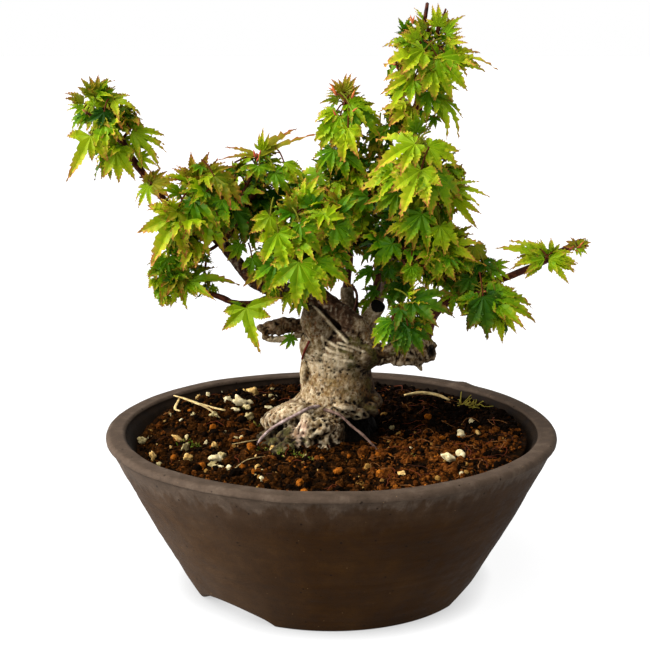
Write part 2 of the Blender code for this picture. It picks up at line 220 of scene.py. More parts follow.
class Mat:
    """A Principled material with a few helpers for its nodes."""

    def __init__(self, name, colour=(120, 120, 120), rough=0.7, spec=0.4):
        self.m = bpy.data.materials.new(name)
        self.m.use_nodes = True
        self.nt = self.m.node_tree
        self.b = self.nt.nodes["Principled BSDF"]
        self.b.inputs["Base Color"].default_value = (*lin(colour), 1)
        self.b.inputs["Roughness"].default_value = rough
        self.b.inputs["Specular IOR Level"].default_value = spec
        self._co = None

    def node(self, kind, **sockets):
        n = self.nt.nodes.new(kind)
        for k, v in sockets.items():
            n.inputs[k.replace("_", " ")].default_value = v
        return n

    def link(self, a, b):
        self.nt.links.new(a, b)

    def coords(self, scale=(1, 1, 1)):
        if self._co is None:
            self._co = self.node("ShaderNodeTexCoord").outputs["Object"]
        mp = self.node("ShaderNodeMapping")
        mp.inputs["Scale"].default_value = scale
        self.link(self._co, mp.inputs["Vector"])
        return mp.outputs["Vector"]

    def noise(self, size_mm, detail=4, rough=0.6, stretch=(1, 1, 1), distort=0.0):
        s = 1000.0 / size_mm
        n = self.node("ShaderNodeTexNoise", Scale=1.0, Detail=detail, Roughness=rough, Distortion=distort)
        self.link(self.coords(tuple(s * k for k in stretch)), n.inputs["Vector"])
        return n.outputs["Fac"]

    def voronoi(self, size_mm, stretch=(1, 1, 1), feature="F1"):
        s = 1000.0 / size_mm
        n = self.node("ShaderNodeTexVoronoi", Scale=1.0)
        n.feature = feature
        self.link(self.coords(tuple(s * k for k in stretch)), n.inputs["Vector"])
        return n.outputs["Distance"]

    def ramp(self, fac, stops):
        r = self.node("ShaderNodeValToRGB")
        cr = r.color_ramp
        while len(cr.elements) < len(stops):
            cr.elements.new(0.5)
        for e, (pos, c) in zip(cr.elements, stops):
            e.position = pos
            e.color = (*(lin(c) if isinstance(c, tuple) else (c, c, c)), 1)
        self.link(fac, r.inputs["Fac"])
        return r.outputs["Color"]

    def mix(self, fac, a, b, blend="MIX"):
        n = self.nt.nodes.new("ShaderNodeMix")
        n.data_type = "RGBA"
        n.blend_type = blend
        for v, s in ((fac, n.inputs[0]), (a, n.inputs[6]), (b, n.inputs[7])):
            if isinstance(v, (int, float)):
                s.default_value = v
            elif isinstance(v, tuple):
                s.default_value = (*lin(v), 1)
            else:
                self.link(v, s)
        return n.outputs[2]

    def maths(self, op, a, b=0.0):
        n = self.nt.nodes.new("ShaderNodeMath")
        n.operation = op
        for v, s in ((a, n.inputs[0]), (b, n.inputs[1])):
            if isinstance(v, (int, float)):
                s.default_value = v
            else:
                self.link(v, s)
        return n.outputs[0]

    def colour(self, socket):
        self.link(socket, self.b.inputs["Base Color"])

    def rough(self, socket):
        self.link(socket, self.b.inputs["Roughness"])

    def bump(self, *layers):
        """layers: (height socket, depth in mm), the coarsest first."""
        last = None
        for height, depth in layers:
            b = self.node("ShaderNodeBump", Strength=1.0, Distance=depth * MM)
            self.link(height, b.inputs["Height"])
            if last is not None:
                self.link(last, b.inputs["Normal"])
            last = b.outputs["Normal"]
        self.link(last, self.b.inputs["Normal"])


def clay_material():
    m = Mat("pot_clay", rough=0.8, spec=0.05)
    big = m.noise(24, 4, 0.55)
    mid = m.noise(5.0, 5, 0.68)
    bands = m.noise(1.7, 3, 0.6, stretch=(0.07, 0.07, 1.0))
    fine = m.noise(0.6, 3, 0.7)
    drip = m.noise(2.6, 3, 0.55, stretch=(1.0, 1.0, 0.10))
    tone = m.mix(0.45, big, mid)
    tone = m.mix(0.16, tone, bands)
    base = m.ramp(tone, [(0.32, (29, 14, 1)), (0.50, (40, 22, 3)), (0.68, (53, 33, 10))])
    # painted sheen: a lighter grey-brown is mixed into the left of the wall, where the side light falls
    base = m.mix(m.maths("MULTIPLY", m.attribute("dry"), 0.58), base, m.ramp(mid, [(0.30, (58, 46, 36)), (0.70, (74, 61, 50))]))
    # the rim and the top of the wall are painted greyer and lighter, with streaks running down: partly worn clay,
    # partly a painted highlight where the rim top faces the light
    z = m.nt.nodes.new("ShaderNodeSeparateXYZ")
    m.link(m.coords((1, 1, 1)), z.inputs[0])
    up = m.maths("ADD", z.outputs[2], m.maths("MULTIPLY", m.maths("SUBTRACT", drip, 0.5), 0.012))
    # painted sheen: the grey band reaches lower on the left
    up = m.maths("ADD", up, m.maths("MULTIPLY", m.attribute("dry"), 0.006))
    worn_and_lit_band = m.ramp(m.maths("MULTIPLY", up, 1000.0 / 60.0), [(0.62, 0.0), (0.745, 0.24), (0.785, 0.92), (1.0, 1.0)])
    grey = m.ramp(mid, [(0.28, (53, 43, 34)), (0.52, (68, 56, 46)), (0.75, (86, 74, 63))])
    # painted shade: inside, below the rim, the wall is painted dark
    base = m.mix(worn_and_lit_band, base, grey)
    painted_shade = m.ramp(m.maths("ADD", m.attribute("inside"), m.maths("MULTIPLY", m.maths("SUBTRACT", mid, 0.5), 0.8)), [(0.30, 0.0), (0.62, 1.0)])
    base = m.mix(painted_shade, base, m.ramp(mid, [(0.3, (15, 9, 5)), (0.7, (36, 26, 17))]))
    speck = m.ramp(m.voronoi(3.1), [(0.0, 1.0), (0.025, 1.0), (0.045, 0.0)])
    base = m.mix(m.maths("MULTIPLY", speck, 0.65), base, (140, 112, 76))
    holes = m.ramp(m.voronoi(4.4), [(0.0, 1.0), (0.06, 1.0), (0.10, 0.0)])
    base = m.mix(m.maths("MULTIPLY", holes, 0.75), base, (10, 5, 2))
    # painted shade: the clay is darkened in its pores, the same pits the bump makes
    pores = m.ramp(m.voronoi(1.5), [(0.0, 0.35), (0.10, 0.7), (0.17, 1.0)])
    base = m.mix(0.6, base, m.mix(1.0, base, pores, "MULTIPLY"))
    m.colour(base)
    m.rough(m.ramp(mid, [(0.25, 0.62), (0.75, 0.88)]))
    m.bump((bands, 0.09), (mid, 0.16), (pores, 0.12), (fine, 0.07))
    return m.m


def bark_material():
    """Pale beige trunk bark with brown pits, greener in patches and red-brown on the limbs; painted shade darkens its
    crevices, holes, hollows and right side, and a painted highlight lightens its ridges.
    """
    m = Mat("trunk_bark", rough=0.85, spec=0.08)
    large = m.noise(9, 5, 0.6, distort=0.6)
    mid = m.noise(2.2, 6, 0.72, distort=0.5)
    fine = m.noise(0.7, 4, 0.7)
    pale = m.ramp(mid, [(0.30, (58, 37, 16)), (0.42, (110, 88, 55)), (0.54, (162, 143, 112)), (0.68, (208, 195, 168))])
    brown = m.ramp(mid, [(0.30, (14, 7, 3)), (0.48, (44, 28, 14)), (0.62, (78, 56, 32)), (0.80, (120, 96, 64))])
    tone = m.attribute("tone")
    base = m.mix(tone, brown, pale)
    base = m.mix(m.maths("MULTIPLY", m.attribute("pink"), 0.55), base, m.ramp(mid, [(0.3, (104, 66, 54)), (0.52, (184, 148, 130)), (0.72, (220, 204, 188))]))
    pits = m.ramp(m.voronoi(1.5), [(0.0, 1.0), (0.20, 0.85), (0.34, 0.0)])
    mask = m.ramp(m.noise(4.0, 3, 0.5), [(0.44, 0.0), (0.56, 1.0)])
    pits = m.mix(1.0, pits, mask, "MULTIPLY")
    pits = m.maths("MULTIPLY", pits, m.maths("ADD", 0.30, m.maths("MULTIPLY", m.attribute("speck"), 0.70)))
    base = m.mix(m.maths("MULTIPLY", pits, 0.9), base, (62, 33, 9))
    small = m.ramp(m.voronoi(0.95, (1, 1, 0.6)), [(0.0, 1.0), (0.26, 0.8), (0.44, 0.0)])
    small = m.mix(1.0, small, m.attribute("speck"), "MULTIPLY")
    base = m.mix(m.maths("MULTIPLY", small, 0.80), base, (88, 52, 17))
    base = m.mix(m.maths("MULTIPLY", m.attribute("rust"), 0.62), base, m.ramp(m.noise(1.0, 4, 0.7), [(0.38, (56, 30, 9)), (0.52, (116, 84, 42)), (0.68, (166, 142, 98))]))
    flecks = m.ramp(fine, [(0.60, 0.0), (0.72, 1.0)])
    base = m.mix(m.maths("MULTIPLY", flecks, 0.40), base, (70, 42, 18))
    moss = m.attribute("moss")
    green = m.ramp(fine, [(0.3, (38, 38, 8)), (0.7, (92, 88, 34))])
    base = m.mix(moss, base, green)
    base = m.mix(m.attribute("limb"), base, m.ramp(mid, [(0.30, (16, 6, 3)), (0.5, (50, 26, 15)), (0.72, (94, 60, 42))]))
    chalk = m.ramp(m.noise(0.9, 3, 0.6, stretch=(1, 1, 0.35)), [(0.30, (104, 88, 62)), (0.48, (172, 156, 126)), (0.70, (208, 196, 170))])
    base = m.mix(m.maths("MULTIPLY", m.attribute("chalk"), 0.85), base, chalk)
    # painted shade: near-black in the crevices
    base = m.mix(m.attribute("crevice"), base, (18, 9, 4))
    # painted highlight: a pale colour on the ridges
    base = m.mix(m.maths("MULTIPLY", m.attribute("crest"), 0.35), base, (204, 188, 156))
    # painted shade: near-black in holes, hollows, the undercut and on the trunk's right side; some of it is the bark's
    # own dark
    dark = m.attribute("dark")
    base = m.mix(dark, base, (10, 6, 3))
    m.colour(base)
    m.bump((large, 0.25), (mid, 0.45), (m.maths("SUBTRACT", 1.0, pits), 0.25), (fine, 0.15))
    return m.m


def mat_attribute(self, name):
    n = self.nt.nodes.new("ShaderNodeAttribute")
    n.attribute_name = name
    return n.outputs["Fac"]


Mat.attribute = mat_attribute


def twig_material():
    m = Mat("twig_bark", rough=0.65, spec=0.10)
    along = m.noise(1.6, 4, 0.6)
    m.colour(m.ramp(along, [(0.28, (24, 8, 4)), (0.50, (60, 25, 13)), (0.74, (100, 54, 32))]))
    m.bump((along, 0.10), (m.noise(0.5, 2, 0.6), 0.05))
    return m.m


def grain_material(name, stops, size=1.6, rough=0.9, spec=0.08, depth=0.18):
    m = Mat(name, rough=rough, spec=spec)
    n = m.noise(size, 5, 0.65)
    m.colour(m.ramp(n, stops))
    m.bump((n, depth), (m.noise(0.45, 3, 0.6), 0.08))
    return m.m


def plain(name, colour, rough=0.5, spec=0.4, sheen=0.0, see=0.0, glow=None):
    """A leaf colour. The base colour is plain, so it stays where it is dealt out."""
    m = Mat(name, colour, rough, spec)
    if see:
        tr = m.node("ShaderNodeBsdfTranslucent")
        tr.inputs["Color"].default_value = (*lin(glow or colour), 1)
        mx = m.node("ShaderNodeMixShader")
        mx.inputs[0].default_value = see
        out = m.nt.nodes["Material Output"]
        m.link(m.b.outputs[0], mx.inputs[1])
        m.link(tr.outputs[0], mx.inputs[2])
        m.link(mx.outputs[0], out.inputs["Surface"])
    return m.m


# =============================================================== the pot
POT_H, RIM_R, FOOT_R, WALL, LIP = 50.2, 70.0, 44.3, 6.0, 1.4
RECESS, FLOOR_TOP, DRAIN_R = 5.0, 10.5, 6.5
ARCHES = (-44.0, 76.0, 196.0)            # azimuths of the three gaps in the foot
ARCH_HEIGHT, ARCH_HALF = 4.5, 21.5


def pot_inner_radius(z):
    return RIM_R - WALL - (POT_H - z) * (25.7 / 50.2) * 1.02


def arc(cx, cz, r, a0, a1, n):
    a = np.radians(np.linspace(a0, a1, n))
    return np.stack([cx + r * np.cos(a), cz + r * np.sin(a)], 1)


def line(a, b, n):
    t = np.linspace(0, 1, n)[:, None]
    return np.asarray(a, float) * (1 - t) + np.asarray(b, float) * t


def make_pot():
    """The wall, foot ring and floor as one turned shape with marks of throwing."""
    lean = math.degrees(math.atan2(RIM_R - FOOT_R, POT_H))
    rounds = 1.5
    outer = line((FOOT_R - 0.15, 1.0), (RIM_R - 0.75, POT_H - 1.5), 96)
    rim = arc(RIM_R - 1.55, POT_H - 1.5, rounds, -20, 95, 9)
    flat = line((RIM_R - 2.6, POT_H + 0.02), (RIM_R - WALL + 1.3, POT_H - 0.02), 6)
    lip = arc(RIM_R - WALL + 1.15, POT_H - 1.15, 1.15, 100, 190, 7)
    inner = line((pot_inner_radius(POT_H - 2.2), POT_H - 2.2), (pot_inner_radius(13.5), 13.5), 40)
    hollow = arc(pot_inner_radius(13.5) - 3.0, 13.5, 3.0, -8, -90, 6)
    floor = line((pot_inner_radius(13.5) - 4.5, FLOOR_TOP), (DRAIN_R + 0.6, FLOOR_TOP), 10)
    hole = line((DRAIN_R, FLOOR_TOP - 0.6), (DRAIN_R, RECESS + 0.6), 5)
    under = line((DRAIN_R + 0.6, RECESS), (34.6, RECESS), 12)
    ring_in = line((35.5, RECESS - 0.7), (36.1, 0.9), 6)
    foot = np.array([(36.6, 0.25), (37.2, 0.0), (39.0, 0.0), (41.0, 0.0), (42.8, 0.0), (43.5, 0.12), (43.95, 0.45)])
    prof = np.vstack([outer, rim, flat, lip, inner, hollow, floor, hole, under, ring_in, foot])
    n = 336
    th = np.arange(n) * 2 * np.pi / n
    az = np.degrees(th)
    arch = np.zeros(n)
    for a in ARCHES:
        d = (az - a + 180) % 360 - 180
        arch = np.maximum(arch, np.where(abs(d) < ARCH_HALF, ARCH_HEIGHT * np.cos(np.radians(d / ARCH_HALF * 90)) ** 0.9, 0))
    r, z = np.meshgrid(prof[:, 0], np.ones(n))[0].T, np.repeat(prof[:, 1][:, None], n, 1)
    rows = len(prof)
    k_out = np.arange(rows) < len(outer)
    k_ring = np.arange(rows) >= rows - len(foot) - len(ring_in)
    r, z = r.copy(), z.copy()
    # the gaps lift the ring's lower edge, and the wall above closes up
    lift = arch[None, :]
    zo = z[k_out]
    new = lift + zo * (POT_H - lift) / POT_H
    r[k_out] += (new - zo) * (RIM_R - FOOT_R) / POT_H + 0.85 * np.sin(np.pi * np.clip(zo / POT_H, 0, 1)) ** 0.7
    z[k_out] = new
    zr = z[k_ring]
    z[k_ring] = lift * 0.98 + zr * (RECESS - 0.7 - lift * 0.98) / (RECESS - 0.7)
    # throwing marks and an uneven hand-made surface, mostly on the outer wall
    s = np.sin(th)[None, :]
    c = np.cos(th)[None, :]
    pts = np.stack([c * r, s * r, z], -1)
    band = noise3(np.stack([z / 1.9, 0 * z + 3.1 + 0.5 * s, 0 * z + 0.5 * c], -1), 5)
    wide = noise3(np.stack([z / 7.0, 0.7 * s + 0 * z, 0.7 * c + 0 * z], -1), 9)
    rough = fbm(pts / 3.2, 3, 21)
    pits = cells(pts / 2.6, 31)
    amp = np.ones(rows)
    amp[len(outer) + len(rim) + len(flat) + len(lip):] = 0.7
    off = 0.10 * band + 0.16 * wide + 0.10 * rough - 0.16 * np.clip((0.16 - pits) / 0.16, 0, 1)
    fade = np.clip((z - 0.6) / 1.2, 0, 1)
    r += off * amp[:, None] * fade
    # a rim that isn't quite level or round
    near = np.clip((z - 36) / 14, 0, 1) ** 2
    wob = 0.28 * noise3(np.stack([1.6 * s + 4, 1.6 * c + 2, 0 * s], -1), 3) + 0.13 * noise3(np.stack([5 * s, 5 * c, 0 * s + 1], -1), 4)
    z += near * wob
    bump = np.exp(-(((az - 137.5 + 180) % 360 - 180) / 2.2) ** 2)[None, :]
    z += near * 0.55 * bump
    v = np.stack([np.sin(th)[None, :] * r, -np.cos(th)[None, :] * r, z], -1).reshape(-1, 3)
    i = np.arange(rows)[:, None]
    k = np.arange(n)[None, :]
    a, b = i * n + k, i * n + (k + 1) % n
    i2 = (i + 1) % rows
    quads = np.stack([a, b, i2 * n + (k + 1) % n, i2 * n + k], -1).reshape(-1, 4)
    out = Build()
    out.add(v, quads=quads)
    me = out.mesh("pot_clay_body", [clay_material()])
    inside = np.zeros((rows, n))
    first = len(outer) + len(rim) + len(flat)
    last = first + len(lip) + len(inner) + len(hollow) + len(floor) + len(hole)
    inside[first:last] = np.clip((POT_H - 0.3 - z[first:last]) / 1.3, 0, 1)
    # painted sheen: the wall is painted lighter and greyer on its left, the side the light comes from
    dry = np.clip(-0.99 * s * np.ones_like(z) - 0.08 * c, 0, 1) * (1 - inside) * (0.85 + 0.3 * fbm(pts / 9.0, 2, 25))
    for key, val in (("inside", inside), ("dry", np.clip(dry, 0, 1))):
        at = me.attributes.new(key, "FLOAT", "POINT")
        at.data.foreach_set("value", val.reshape(-1).astype(np.float32))
    return place("pot_body", me, ["pot"])


# =============================================================== the soil
def soil_height(x, y):
    """Top of the soil: it heaps up to the trunk and lies lower by the wall."""
    r = np.hypot(x, y)
    edge = np.clip((60.8 - r) / (60.8 - 22), 0, 1)
    z = 44.3 + 2.5 * np.sin(edge * np.pi / 2)
    p = np.stack([x, y, 0 * x], -1)
    z += 0.55 * fbm(p / 11, 3, 71) + 0.35 * fbm(p / 3.4, 2, 73)
    # higher at the front right, a heap in front of the trunk, a rise on its left
    z += 0.9 * np.exp(-(((x - 36) / 20) ** 2 + ((y + 20) / 20) ** 2))
    z += 1.5 * np.exp(-(((x + 8) / 13) ** 2 + ((y + 17) / 9) ** 2))
    z += 1.1 * np.exp(-(((x - 33) / 12) ** 2 + ((y - 22) / 14) ** 2))
    z += 1.4 * np.exp(-(((x + 40) / 14) ** 2 + ((y - 12) / 14) ** 2))
    z += 3.3 * smoothstep(4, 40, y) + 0.9 * smoothstep(36, 56, abs(x)) * smoothstep(-30, -8, y)
    high = smoothstep(38, 58, x) * smoothstep(40, 12, abs(y + 2))
    return np.minimum(z + 2.4 * high, 49.2 + 1.3 * high)


def make_soil_bed():
    n, rows = 240, 84
    th = np.arange(n) * 2 * np.pi / n
    rad = np.linspace(0.0, 1.0, rows)[1:] ** 0.8 * 60.9
    x = rad[:, None] * np.cos(th)
    y = rad[:, None] * np.sin(th)
    z = soil_height(x, y)
    p = np.stack([x, y, z], -1)
    z = z + 0.40 * fbm(p / 1.5, 3, 77) + 0.55 * (0.5 - cells(np.stack([x, y, 0 * x], -1) / 2.6, 79)) + 0.25 * (0.5 - cells(np.stack([x, y, 0 * x], -1) / 1.3, 80))
    z = np.minimum(z, 49.6)
    v = [np.stack([x, y, z], -1).reshape(-1, 3), np.array([[0, 0, 47.0]])]
    quads, tris = [], []
    k = np.arange(n)
    nx = (k + 1) % n
    for i in range(rows - 2):
        quads.append(np.stack([i * n + k, (i + 1) * n + k, (i + 1) * n + nx, i * n + nx], -1))
    mid = (rows - 1) * n
    tris.append(np.stack([np.full(n, mid), k, nx], -1))
    # the side goes down along the wall to a flat bottom
    count = mid + 1
    last = (rows - 2) * n
    for zz in (40.0, 26.0, 12.5, 10.9):
        rr = min(60.9, pot_inner_radius(zz) - 0.4) if zz > 11 else pot_inner_radius(13.5) - 3.2
        v.append(np.stack([rr * np.cos(th), rr * np.sin(th), np.full(n, zz)], -1))
        quads.append(np.stack([last + k, count + k, count + nx, last + nx], -1))
        last, count = count, count + n
    v.append(np.array([[0, 0, 10.9]]))
    tris.append(np.stack([np.full(n, count), last + nx, last + k], -1))
    out = Build()
    out.add(np.vstack(v), tris=np.vstack(tris), quads=np.vstack(quads))
    # near-black soil bed under the grains: partly the dark soil, partly painted shade in the gaps between grains
    m = grain_material("soil_dark", [(0.25, (2, 1, 0)), (0.48, (14, 6, 1)), (0.66, (38, 18, 3)), (0.82, (70, 38, 10))],
                       size=1.3, spec=0.02, depth=0.3)
    return place("soil_bed", out.mesh("soil_bed", [m]), ["soil"])


def ico(level):
    """Unit icosphere as vertices and triangles."""
    t = (1 + 5 ** 0.5) / 2
    v = [(-1, t, 0), (1, t, 0), (-1, -t, 0), (1, -t, 0), (0, -1, t), (0, 1, t),
         (0, -1, -t), (0, 1, -t), (t, 0, -1), (t, 0, 1), (-t, 0, -1), (-t, 0, 1)]
    f = [(0, 11, 5), (0, 5, 1), (0, 1, 7), (0, 7, 10), (0, 10, 11), (1, 5, 9), (5, 11, 4), (11, 10, 2),
         (10, 7, 6), (7, 1, 8), (3, 9, 4), (3, 4, 2), (3, 2, 6), (3, 6, 8), (3, 8, 9), (4, 9, 5),
         (2, 4, 11), (6, 2, 10), (8, 6, 7), (9, 8, 1)]
    v = [np.array(p, float) / np.linalg.norm(p) for p in v]
    for _ in range(level):
        mid, new = {}, []

        def half(a, b):
            key = (min(a, b), max(a, b))
            if key not in mid:
                m = v[a] + v[b]
                v.append(m / np.linalg.norm(m))
                mid[key] = len(v) - 1
            return mid[key]

        for a, b, c in f:
            ab, bc, ca = half(a, b), half(b, c), half(c, a)
            new += [(a, ab, ca), (b, bc, ab), (c, ca, bc), (ab, bc, ca)]
        f = new
    return np.array(v), np.array(f)


def turn_matrices(rng, n):
    q = rng.normal(size=(n, 4))
    q /= np.linalg.norm(q, axis=1)[:, None]
    w, x, y, z = q.T
    return np.stack([np.stack([1 - 2 * (y * y + z * z), 2 * (x * y - z * w), 2 * (x * z + y * w)], -1),
                     np.stack([2 * (x * y + z * w), 1 - 2 * (x * x + z * z), 2 * (y * z - x * w)], -1),
                     np.stack([2 * (x * z - y * w), 2 * (y * z + x * w), 1 - 2 * (x * x + y * y)], -1)], 1)


def scatter_lumps(out, rng, centres, sizes, level, rough, flat=0.8, mats=1, which=None):
    """Irregular grains at the centres, each with its own proportions and turn."""
    base, faces = ico(level)
    n = len(centres)
    prop = rng.uniform(0.65, 1.15, (n, 1, 3))
    prop[:, :, 2] *= flat
    v = base[None] * prop
    jit = 1 + rough * noise3(base[None] * 1.7 + rng.uniform(0, 60, (n, 1, 3)), 11)[..., None]
    v = v * jit
    v = np.einsum("nij,nkj->nki", turn_matrices(rng, n), v)
    v = v * (sizes[:, None, None] / 2) + centres[:, None, :]
    f = faces[None] + (np.arange(n) * len(base))[:, None, None]
    which = rng.integers(0, mats, n) if which is None else which
    out.add(v.reshape(-1, 3), tris=f.reshape(-1, 3), mat3=np.repeat(which, len(faces)))


def on_soil(rng, n, rmax=59.5, keep=None):
    """Random places on the soil, clear of the trunk."""
    pts = []
    while len(pts) < n:
        a = rng.uniform(0, 2 * np.pi, 4 * n)
        r = rmax * np.sqrt(rng.uniform(0, 1, 4 * n))
        x, y = r * np.cos(a), r * np.sin(a)
        ok = (x / 15.5) ** 2 + (y / 14.0) ** 2 > 1
        if keep is not None:
            ok &= rng.uniform(0, 1, 4 * n) < keep(x, y)
        pts += list(zip(x[ok], y[ok]))
    return np.array(pts[:n])


def soil_spot(across, down):
    """Where on the soil a place in the front view lies."""
    p = np.array([seen(across, down, d) for d in np.linspace(-58, 56, 229)])
    gap = abs(p[:, 2] - soil_height(p[:, 0], p[:, 1])) + 9 * (np.hypot(p[:, 0], p[:, 1]) > 58)
    return p[gap.argmin(), :2]


def make_soil_grains():
    rng = rng_of(41)
    pile = fbm(np.array([[0.0, 0, 0]]), 1)[0] * 0

    def sites(n, keep=None, sink=0.25, sizes=(0.6, 1.6), power=1.0, rmax=59.5):
        xy = on_soil(rng, n, rmax, keep)
        s = sizes[0] + (sizes[1] - sizes[0]) * rng.uniform(0, 1, n) ** power
        limit = np.hypot(xy[:, 0], xy[:, 1]) + s / 2 > 60.4
        xy[limit] *= 0.97
        z = soil_height(xy[:, 0], xy[:, 1]) + s * sink + pile
        return np.column_stack([xy, z]), s

    dark = Build()

    def kind(c):
        """Black crumbs, more of them as painted shade behind and around the trunk, towards the front and at the back
        left; browner to the left and rusty in front on the right.
        """
        x, y = c[:, 0], c[:, 1]
        painted_shade = 1.25 * smoothstep(-10, 8, y) * smoothstep(-18, 0, x) + 0.7 * np.exp(-((x / 20) ** 2 + ((y + 6) / 14) ** 2)) \
            + 0.35 * np.exp(-(((x + 6) / 26) ** 2 + ((y + 44) / 15) ** 2)) + 0.75 * smoothstep(16, 34, y) * (x < 0)
        rust = 0.15 + 0.69 * smoothstep(2, 22, x) * smoothstep(10, -10, y) - 0.25 * painted_shade
        u = rng.uniform(0, 1, len(c))
        return np.where(u < 0.22 + 0.50 * painted_shade, 0, np.where(u > 1 - rust, 2, 1))

    c, s = sites(6200, sizes=(0.5, 1.6), power=1.6, sink=0.15)
    scatter_lumps(dark, rng, c, s, 0, 0.35, mats=3, which=kind(c))
    coarse = Build()
    c, s = sites(1500, sizes=(1.4, 3.6), power=1.9, sink=0.02)
    scatter_lumps(coarse, rng, c, s, 1, 0.46, mats=3, which=kind(c))
    d1 = grain_material("crumb_black", [(0.3, (2, 1, 0)), (0.6, (10, 4, 1)), (0.8, (26, 12, 3))], 0.9, spec=0.02)
    d2 = grain_material("crumb_brown", [(0.3, (9, 4, 0)), (0.5, (34, 16, 2)), (0.75, (80, 44, 12))], 0.9, spec=0.02)
    d3 = grain_material("crumb_rust", [(0.3, (24, 10, 1)), (0.5, (64, 31, 6)), (0.75, (118, 70, 24))], 0.9, spec=0.02)
    place("soil_crumbs_fine", dark.mesh("soil_crumbs_fine", [d1, d2, d3], smooth=False))
    place("soil_crumbs_coarse", coarse.mesh("soil_crumbs_coarse", [d1, d2, d3], smooth=False))

    clay = Build()
    front = lambda x, y: 0.25 + 0.75 * (y < 2) * (abs(x - 4) < 52)
    c, s = sites(230, front, sizes=(0.8, 2.6), power=2.2, sink=0.02)
    scatter_lumps(clay, rng, c, s, 1, 0.34, 0.85, 3)
    # the larger ones that stand out in front
    some = ((251, 450, 3.2), (246, 456, 2.3), (213, 430, 2.5), (338, 474, 3.1), (368, 470, 2.9), (380, 475, 2.5), (378, 457, 2.2),
            (349, 458, 2.1), (242, 441, 2.1), (149, 421, 2.3), (300, 484, 2.1), (254, 474, 1.9), (211, 412, 2.1), (428, 419, 2.5))
    xy = np.array([soil_spot(a, b) for a, b, _ in some])
    s = np.array([k[2] for k in some])
    scatter_lumps(clay, rng, np.column_stack([xy, soil_height(xy[:, 0], xy[:, 1]) + 0.25 * s]), s, 2, 0.34, 0.85, 3,
                  which=np.where(np.arange(len(some)) % 5 == 4, 2, 0))
    a1 = grain_material("fired_clay_orange", [(0.3, (74, 34, 4)), (0.55, (124, 68, 14)), (0.8, (164, 104, 36))], 1.0, spec=0.03)
    a2 = grain_material("fired_clay_brown", [(0.3, (46, 20, 3)), (0.55, (86, 44, 10)), (0.8, (126, 74, 26))], 1.0, spec=0.03)
    a3 = grain_material("fired_clay_tan", [(0.3, (80, 54, 20)), (0.55, (122, 90, 42)), (0.8, (160, 128, 74))], 1.0, spec=0.03)
    place("soil_clay_grains", clay.mesh("soil_clay_grains", [a1, a2, a3]))

    stone = Build()
    left = lambda x, y: np.where((x < -16) & (y > -42), 1.0, 0.10 + 0.12 * (y < -10))
    c, s = sites(96, left, sizes=(0.9, 2.8), power=2.2, sink=0.12)
    scatter_lumps(stone, rng, c, s, 1, 0.62, 0.5, 3)
    # a few larger ones on the left, by the straw and near the front rim
    some = ((142, 443, 3.1), (153, 460, 3.3), (178, 442, 3.5), (185, 451, 2.6), (215, 449, 3.1), (188, 461, 3.4), (216, 462, 3.3),
            (222, 459, 2.6), (449, 462, 4.2), (460, 456, 2.6), (461, 438, 3.6), (478, 435, 2.0), (391, 431, 2.5), (402, 476, 2.4),
            (241, 406, 4.2), (235, 413, 3.0), (249, 419, 3.2), (214, 418, 2.8), (228, 402, 2.6), (252, 395, 3.2), (247, 409, 2.6))
    big = np.array([(*soil_spot(a, b), k) for a, b, k in some])
    c = np.column_stack([big[:, 0], big[:, 1], soil_height(big[:, 0], big[:, 1]) + 0.28 * big[:, 2]])
    scatter_lumps(stone, rng, c, big[:, 2] * 1.05, 2, 0.56, 0.6, 3)
    s1 = grain_material("pumice_pale", [(0.25, (120, 98, 62)), (0.5, (188, 172, 130)), (0.8, (232, 222, 188))], 1.2)
    s2 = grain_material("pumice_grey", [(0.25, (84, 72, 42)), (0.5, (150, 134, 90)), (0.8, (200, 188, 146))], 1.2)
    s3 = grain_material("pumice_buff", [(0.25, (104, 72, 30)), (0.5, (168, 134, 76)), (0.8, (212, 184, 128))], 1.2)
    place("soil_pumice", stone.mesh("soil_pumice", [s1, s2, s3]))

    # fine dead roots lying about, thickest on the right
    hair = Build()
    right = lambda x, y: np.where(x > 8, 1.0, 0.35)
    for x, y in on_soil(rng, 150, 56, right):
        n = rng.integers(5, 8)
        d = rng.uniform(0, 2 * np.pi)
        path = [(x, y)]
        step = rng.uniform(0.7, 1.7)
        for _ in range(n):
            d += rng.normal(0, 0.55)
            path.append((path[-1][0] + step * np.cos(d), path[-1][1] + step * np.sin(d)))
        path = np.array(path)
        if np.hypot(path[:, 0], path[:, 1]).max() > 59.5:
            continue
        lift = rng.uniform(0.2, 1.0) * np.sin(np.linspace(0, np.pi, len(path))) * rng.uniform(0.4, 2.0)
        z = soil_height(path[:, 0], path[:, 1]) + 0.45 + lift
        r = rng.uniform(0.06, 0.13)
        v, t, q = tube(smooth_path(np.column_stack([path, z]), 2), r, 4)
        m = rng.integers(0, 3)
        hair.add(v, t, q, m, m)
    h = [plain("root_hair_" + n_, c_, 0.7, 0.08) for n_, c_ in (("red", (84, 34, 12)), ("brown", (50, 22, 8)), ("tan", (110, 70, 34)))]
    place("soil_fine_roots", hair.mesh("soil_fine_roots", h))


